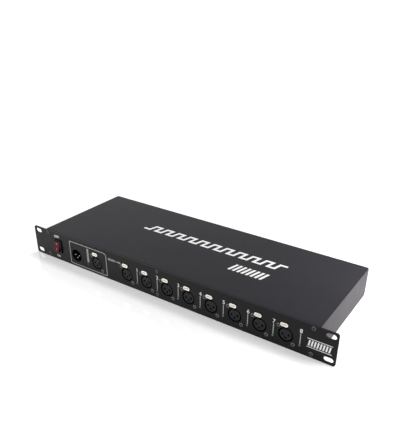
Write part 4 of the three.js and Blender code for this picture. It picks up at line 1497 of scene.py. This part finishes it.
@dataclass
class RockerSwitch(Assembly):
    """The power switch: bezel and body, and the red rocker that tips in it."""

    bezel: Block = Block(15.0, 21.0, 1.2, edge=0.55, steps=8)
    proud: float = 2.0
    opening: Block = Block(10.6, 17.85, 0.5, steps=3)
    body: Block = Block(12.9, 18.9, 0.4, edge=0.3)
    sleeve_front: float = 0.6
    overlap: float = 0.2
    floor: float = -77.45
    rear: float = -67.7
    blade: Block = Block(4.8, 0.8, 0.1, steps=1)
    blade_pitch: float = 5.0
    blade_root: float = 0.5
    blade_length: float = 7.0
    pivot: float = -82.2
    rocker_half_width: float = 4.95
    rocker_half_height: float = 7.6
    valley: float = 2.351
    crest: float = 3.967
    sweep: float = 1.25
    back_depth: float = 3.0
    back_half: float = 3.0
    foot_depth: float = 1.0
    cap_edge: float = 0.35
    trunnion_radius: float = 1.0
    trunnion_length: float = 0.7
    tilt: float = 12.0
    ring_z: float = 4.1
    ring_radius: float = 1.35
    ring_width: float = 0.45
    bar_zs: Pair = (-2.4, -5.6)
    bar_width: float = 0.55
    mark_sunk: float = 0.05
    mark_thickness: float = 0.12

    def build(self) -> None:
        """Makes the housing, the rocker and its marks."""
        self._housing()
        self._rocker()
        self._marks()

    def _housing(self) -> None:
        """Bezel with a rounded edge, the sleeve, the floor and three terminals."""
        front, x, z = self.at.panel_front, self.at.switch_x, self.at.switch_z
        hole = self.opening.outline(x, z)
        moulded = (self.bezel.solid((x, z), front - self.proud, front, hole),
                   plate([self.body.outline(x, z), hole], front - self.sleeve_front,
                         self.floor + self.overlap),
                   self.body.solid((x, z), self.floor, self.rear))
        blades = [self.blade.solid((x, z + self.blade_pitch * step),
                                   self.rear - self.blade_root, self.rear + self.blade_length)
                  for step in (-1, 0, 1)]
        self.shop.piece("switch_bezel",
                        [*coated(self.finishes.bezel, *moulded),
                         *coated(self.finishes.terminal, *blades)],
                        "black_plastic", stands_for=["switch_housing"])

    def _face_depth(self, level: Array) -> Array:
        """Depth of the rocker's face at a level: -(v + (c - v) |level / h|^sweep).

        Args:
            level: Distance above the pivot.

        Returns:
            Depth before it is tipped, from the valley's v at the middle to the crest's c at
            the half height h.
        """
        share = np.abs(level / self.rocker_half_height) ** self.sweep
        return -(self.valley + (self.crest - self.valley) * share)

    def _tipped(self, depth: Array, level: Array) -> Array:
        """Points of the rocker's own plane, turned about the pivot by the tilt.

        Args:
            depth: Distance behind the pivot before it is tipped.
            level: Distance above the pivot before it is tipped.

        Returns:
            Points (n, 2) as y and z.
        """
        cos, sin = math.cos(math.radians(self.tilt)), math.sin(math.radians(self.tilt))
        return np.stack([self.pivot + depth * cos + level * sin,
                         self.at.switch_z - depth * sin + level * cos], axis=-1)

    def _rocker(self) -> None:
        """The rocker, whose two faces sink into a valley, and the trunnion it tips on."""
        half, inner = self.rocker_half_height, self.back_half
        level = np.linspace(-half, half, 25)
        depth = np.concatenate([self._face_depth(level),
                                [self.foot_depth, self.back_depth, self.back_depth,
                                 self.foot_depth]])
        outline = self._tipped(depth, np.concatenate([level, [half, inner, -inner, -half]]))
        low = self.at.switch_x - self.rocker_half_width
        high = self.at.switch_x + self.rocker_half_width
        cap = plate([outline], low, high, Facing.RIGHT, edge=self.cap_edge)
        pivot = circle(self.pivot, self.at.switch_z, self.trunnion_radius, steps=24)
        trunnion = plate([pivot], low - self.trunnion_length, high + self.trunnion_length,
                         Facing.RIGHT)
        self.shop.piece("rocker_cap", coated(self.finishes.rocker, cap, trunnion), "red_plastic",
                        body="rocker", stands_for=["switch_rocker"])

    def _marks(self) -> None:
        """A ring on the upper half and a bar on the lower, laid on the curved face."""
        top, foot = self.bar_zs
        ring = stroke(circle(0, self.ring_z, self.ring_radius), self.ring_width, 0, 1,
                      closed=True)
        bar = stroke([(0, top), (0, foot)], self.bar_width, 0, 1)
        for mesh in (ring, bar):
            flat = points_of(mesh) / MM
            skin = self._face_depth(flat[:, 2]) - self.mark_sunk
            placed = self._tipped(skin + self.mark_thickness * flat[:, 1], flat[:, 2])
            move_points(mesh, np.column_stack([self.at.switch_x + flat[:, 0], placed]))
            tidied(mesh)
        self.shop.piece("rocker_marks", coated(self.finishes.rocker_mark, ring, bar),
                        "red_plastic", body="rocker")


@dataclass
class MainsInlet(Assembly):
    """The inlet at the rear with its blades, the fuse drawer and the fuse."""

    x: float = -150.015
    z: float = 18.8
    wall: float = 78.2
    rear: float = 81.2
    flange: Block = Block(50.0, 31.0, 4.0, edge=0.5, steps=8)
    body: Block = Block(27.4, 29.0, 0.8, edge=0.3, steps=3)
    body_depth: float = 6.0
    overlap: float = 1.0
    cavity_z: float = 23.6
    cavity_half: Pair = (12.1, 8.1)
    cavity_cut: float = 4.5
    cavity_easing: float = 0.9
    cavity_floor: float = 65.2
    blade: Block = Block(2.0, 4.0, 0.4, edge=0.35, steps=3)
    blade_pitch: float = 7.0
    blade_offset: float = 2.0
    blade_root: float = 3.0
    blade_length: float = 13.5
    screw_x: float = 19.6
    screw_radius: float = 2.9
    screw_height: float = 0.5
    bay: Block = Block(23.0, 8.0, 0.4)
    bay_z: float = 9.9
    drawer_half: Pair = (11.25, 3.75)
    drawer_inner: float = 61.45
    face_margin: float = 0.8
    face_thickness: float = 1.6
    face_easing: float = 0.6
    face_edge: float = 0.4
    notch_halves: Pair = (4.2, 3.2)
    notch_depth: float = 1.3
    trough: float = 2.75
    cheek: float = 1.1
    block_corner: float = 0.3
    cheek_corner: float = 0.2
    fuse_y: float = 66.2
    glass_radii: Pair = (2.35, 1.9)
    glass_half: float = 6.0
    cap_radius: float = 2.6
    cap_middle: float = 7.5
    cap_half: float = 2.5
    cap_edge: float = 0.3
    wire_radius: float = 0.15

    def build(self) -> None:
        """Makes the inlet, the drawer and the fuse."""
        self._body()
        self._drawer()
        self._fuse()

    def _cavity(self) -> Array:
        """Outline of the cavity: a box whose upper corners are cut and lower ones rounded."""
        (half, tall), cut = self.cavity_half, self.cavity_cut
        corners = np.array([[-half, -tall], [half, -tall], [half, tall - cut], [half - cut, tall],
                            [cut - half, tall], [-half, tall - cut]])
        return eased(corners + [self.x, self.cavity_z], self.cavity_easing, closed=True)

    def _body(self) -> None:
        """Flange, walls, blades and two fixing screws."""
        x, z, floor = self.x, self.z, self.cavity_floor
        openings = [self._cavity(), self.bay.outline(x, self.bay_z)]
        moulded = (self.flange.solid((x, z), self.wall, self.rear, *openings),
                   plate([self.body.outline(x, z), *openings], floor, self.wall + self.overlap),
                   self.body.solid((x, z), floor - self.body_depth, floor))
        blades = []
        for side in (-1, 0, 1):
            level = self.cavity_z + (-self.blade_offset if side else self.blade_offset)
            blades.append(self.blade.solid((x + self.blade_pitch * side, level),
                                           floor - self.blade_root, floor + self.blade_length))
        heads = [cross_head(x + self.screw_x * side, z, self.rear, self.screw_radius,
                            self.screw_height, outward=1) for side in (-1, 1)]
        self.shop.piece("inlet_housing",
                        [*coated(self.finishes.inlet, *moulded),
                         *coated(self.finishes.terminal, *blades),
                         *coated(self.finishes.screw, *heads)],
                        "black_plastic", stands_for=["mains_inlet"])

    def _drawer_face(self) -> bpy.types.Mesh:
        """The drawer's face, with a notch for a finger in its lower edge."""
        half, tall = (size + self.face_margin for size in self.drawer_half)
        foot, wide, narrow = -tall, *self.notch_halves
        notch = foot + self.notch_depth
        corners = np.array([
            [-half, foot], [-wide, foot], [-narrow, notch], [narrow, notch], [wide, foot],
            [half, foot], [half, tall], [-half, tall]]) + [self.x, self.bay_z]
        return plate([eased(corners, self.face_easing, closed=True)], self.rear,
                     self.rear + self.face_thickness, edge=self.face_edge)

    def _drawer(self) -> None:
        """Drawer face, and its tray with a trough for the fuse."""
        (half, tall), trough = self.drawer_half, self.trough
        near, far = self.fuse_y - trough, self.fuse_y + trough
        floor = rounded_box(self.x, self.bay_z - (tall + trough) / 2, 2 * half, tall - trough,
                            self.cheek_corner)
        block = rounded_box(self.x, self.bay_z, 2 * half, 2 * tall, self.block_corner)
        tray = [plate([floor], self.drawer_inner, self.rear),
                plate([block], self.drawer_inner, near), plate([block], far, self.rear)]
        for side in (-1, 1):
            cheek = rounded_box(self.x + side * (half - self.cheek / 2), self.bay_z, self.cheek,
                                2 * tall, self.cheek_corner)
            tray.append(plate([cheek], near, far))
        self.shop.piece("drawer_tray",
                        [(self._drawer_face(), self.finishes.inlet),
                         *coated(self.finishes.core, *tray)],
                        "insert_plastic", body="drawer", stands_for=["fuse_drawer"])

    def _rod(
        self, radii: Sequence[float], middle: float, half: float, steps: int = 32,
        edge: float = 0.0
    ) -> bpy.types.Mesh:
        """Rod or tube along the fuse's axis.

        Args:
            radii: Its radius, and that of its bore if it has one.
            middle: Distance of its middle from the fuse's.
            half: Half its length.
            steps: Steps once round.
            edge: Radius along its edges.

        Returns:
            A closed mesh.
        """
        rings = [circle(self.fuse_y, self.bay_z, radius, steps) for radius in radii]
        return plate(rings, self.x + middle - half, self.x + middle + half, Facing.RIGHT, edge)

    def _fuse(self) -> None:
        """Glass tube between two metal caps, with a wire along its axis."""
        glass = self._rod(self.glass_radii, 0.0, self.glass_half)
        self.shop.piece("fuse_tube", coated(self.finishes.glass, glass), "fuse_glass",
                        body="drawer", stands_for=["fuse"])
        caps = [self._rod([self.cap_radius], side * self.cap_middle, self.cap_half,
                          edge=self.cap_edge) for side in (-1, 1)]
        wire = self._rod([self.wire_radius], 0.0, self.glass_half, steps=8)
        self.shop.piece("fuse_caps", coated(self.finishes.contact, *caps, wire),
                        "contact_plate", body="drawer")


@dataclass
class InnerParts(Assembly):
    """What stands inside the closed case: its CAD nodes stay and get their finishes."""

    def build(self) -> None:
        """Dresses each node."""
        finishes = self.finishes
        for node, finish in (("signal_board", finishes.board), ("power_board", finishes.board),
                             ("power_transformer", finishes.core_steel),
                             ("filter_capacitor", finishes.sleeve)):
            self.shop.dress(node, finish)


@dataclass(frozen=True)
class SoftBox:
    """A rectangular soft lamp: its place and what it looks at, in millimetres.

    Its size is in metres, its power in watts, and its spread, how wide its beam opens, in
    degrees.
    """

    name: str
    place: Place
    toward: Place
    size: Pair
    power: float
    spread: float = 180.0
    colour: Colour = WHITE

    def build(self) -> None:
        """Hangs the lamp."""
        data = bpy.data.lights.new(self.name, "AREA")
        data.shape, data.size, data.size_y = "RECTANGLE", *self.size
        data.energy, data.color = self.power, self.colour
        data.spread = math.radians(self.spread)
        lamp = new_object(self.name, data)
        lamp.location = Vector(self.place) * MM
        look = Vector(self.toward) - Vector(self.place)
        lamp.rotation_euler = look.to_track_quat("-Z", "Y").to_euler()


@dataclass
class Studio:
    """Camera at the photograph's angle, pale floor, white surroundings and soft lamps.

    Angles are in degrees, places in millimetres, and the camera's view in the pixels of the
    photograph.
    """

    focal_pixels: float = 528.194
    frame_pixels: float = 422.0
    sensor: float = 36.0
    azimuth: float = 33.287
    elevation: float = 28.236
    roll: float = 0.666
    distance: float = 622.067
    target: Place = (72.112, -81.7, 89.296)
    rise_pixels: float = 43.693
    clip: Pair = (0.01, 20.0)
    sun_from: Place = (0.12, 0.38, 0.9)
    sun_strength: float = 1.15
    sun_width: float = 16.0
    side_light: SoftBox = SoftBox("side_light", (470.0, 80.0, 300.0), (262.0, 60.0, 0.0),
                                  (0.25, 0.12), 0.3, 45.0, (1.0, 0.92, 0.97))
    left_light: SoftBox = SoftBox("left_light", (-900.0, -900.0, 420.0), (-150.0, -81.7, 22.0),
                                  (1.0, 1.0), 4.0)
    sky: float = 0.68
    floor_width: float = 28000.0
    floor_drop: float = 0.05
    floor_colour: Colour = (0.8, 0.8, 0.8)
    floor_roughness: float = 0.1
    floor_lift: float = 0.26

    def build(self) -> None:
        """Makes the camera, the floor, the world and the lamps."""
        self._camera()
        self._floor()
        self._world()
        self._sun()
        self.side_light.build()
        self.left_light.build()
        bpy.context.scene.view_settings.view_transform = "Standard"

    def _camera(self) -> None:
        """Camera: it looks along the azimuth and elevation, rolled about its own axis."""
        side, up = math.radians(self.azimuth), math.radians(self.elevation)
        back = Vector((math.sin(side) * math.cos(up), -math.cos(side) * math.cos(up),
                       math.sin(up)))
        right = Vector((0, 0, 1)).cross(back).normalized()
        above = back.cross(right)
        turn = math.radians(self.roll)
        rolled = right * math.cos(turn) + above * math.sin(turn)
        upright = above * math.cos(turn) - right * math.sin(turn)
        place = Vector(self.target) + back * self.distance
        data = bpy.data.cameras.new("camera")
        data.sensor_width = self.sensor
        data.lens = self.focal_pixels * self.sensor / self.frame_pixels
        data.shift_y = self.rise_pixels / self.frame_pixels
        data.clip_start, data.clip_end = self.clip
        camera = new_object("camera", data)
        basis = Matrix((rolled, upright, back)).transposed().to_4x4()
        camera.matrix_world = Matrix.Translation(place * MM) @ basis
        bpy.context.scene.camera = camera

    def _floor(self) -> None:
        """Pale floor under the object, white to the camera where nothing shades it."""
        corners = Facing.TOP.place(UNIT_BOX * self.floor_width, np.full(4, -self.floor_drop))
        mesh = bpy.data.meshes.new("floor")
        mesh.from_pydata((corners * MM).tolist(), [], [(0, 1, 2, 3)])
        floor = new_object("floor", mesh)
        material, graph, shader = new_material("floor_white")
        rays = graph.add("LightPath").outputs
        seen = graph.maths("MAXIMUM", rays["Is Camera Ray"], rays["Is Glossy Ray"])
        lift = graph.maths("MULTIPLY", seen, self.floor_lift)
        graph.set(shader, Base_Color=self.floor_colour, Roughness=self.floor_roughness,
                  Specular_IOR_Level=1.0, Emission_Color=WHITE, Emission_Strength=lift)
        mesh.materials.append(material)

    def _world(self) -> None:
        """White to the camera and to gloss, a little dimmer as light."""
        world = bpy.data.worlds.new("studio")
        bpy.context.scene.world = world
        world.use_nodes = True
        graph = Graph(world.node_tree)
        rays = graph.add("LightPath").outputs
        passing = graph.maths("MAXIMUM", rays["Is Glossy Ray"], rays["Is Transmission Ray"])
        seen = graph.maths("MAXIMUM", rays["Is Camera Ray"], passing)
        strength = graph.maths("ADD", graph.maths("MULTIPLY", seen, 1 - self.sky), self.sky)
        graph.set(world.node_tree.nodes["Background"], Color=WHITE, Strength=strength)

    def _sun(self) -> None:
        """Broad soft light from above and behind, so that the shadow falls to the front."""
        data = bpy.data.lights.new("key_light", "SUN")
        data.energy, data.angle = self.sun_strength, math.radians(self.sun_width)
        lamp = new_object("key_light", data)
        lamp.rotation_euler = (-Vector(self.sun_from)).to_track_quat("-Z", "Y").to_euler()


def clear_scene() -> None:
    """Removes what Blender's own start file holds."""
    for name in ("Cube", "Light", "Camera"):
        thing = bpy.data.objects.get(name)
        if thing is not None:
            bpy.data.objects.remove(thing)


def assemblies() -> list[Assembly]:
    """The sub-assemblies, in the order in which they are built."""
    shop, at = Workshop(), Layout()
    red, green = shop.finishes.red_lens, shop.finishes.green_lens
    parts: list[Assembly] = [
        FrontPanel(shop, at), PanelPrint(shop, at), Case(shop, at), RockerSwitch(shop, at),
        InputPlug(shop, at, "input", at.input_x), Socket(shop, at, "thru", at.thru_x),
        Lamp(shop, at, "signal_led", at.signal_lamp_x, at.signal_lamp_z, red, "red_lens")]
    for number, x in enumerate(at.output_xs.tolist(), start=1):
        parts.append(Socket(shop, at, f"output_{number}", x))
        parts.append(Lamp(shop, at, f"output_led_{number}", x + at.lamp_offset_x, at.lamp_z,
                          green, "green_lens"))
    return parts + [MainsInlet(shop, at), InnerParts(shop, at)]


def main() -> None:
    """Builds the studio and the sub-assemblies."""
    logging.basicConfig(level=logging.INFO, format="%(message)s")
    clear_scene()
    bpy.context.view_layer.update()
    Studio().build()
    for part in assemblies():
        LOG.info("building %s", type(part).__name__)
        part.build()


if __name__ == "__main__":
    main()
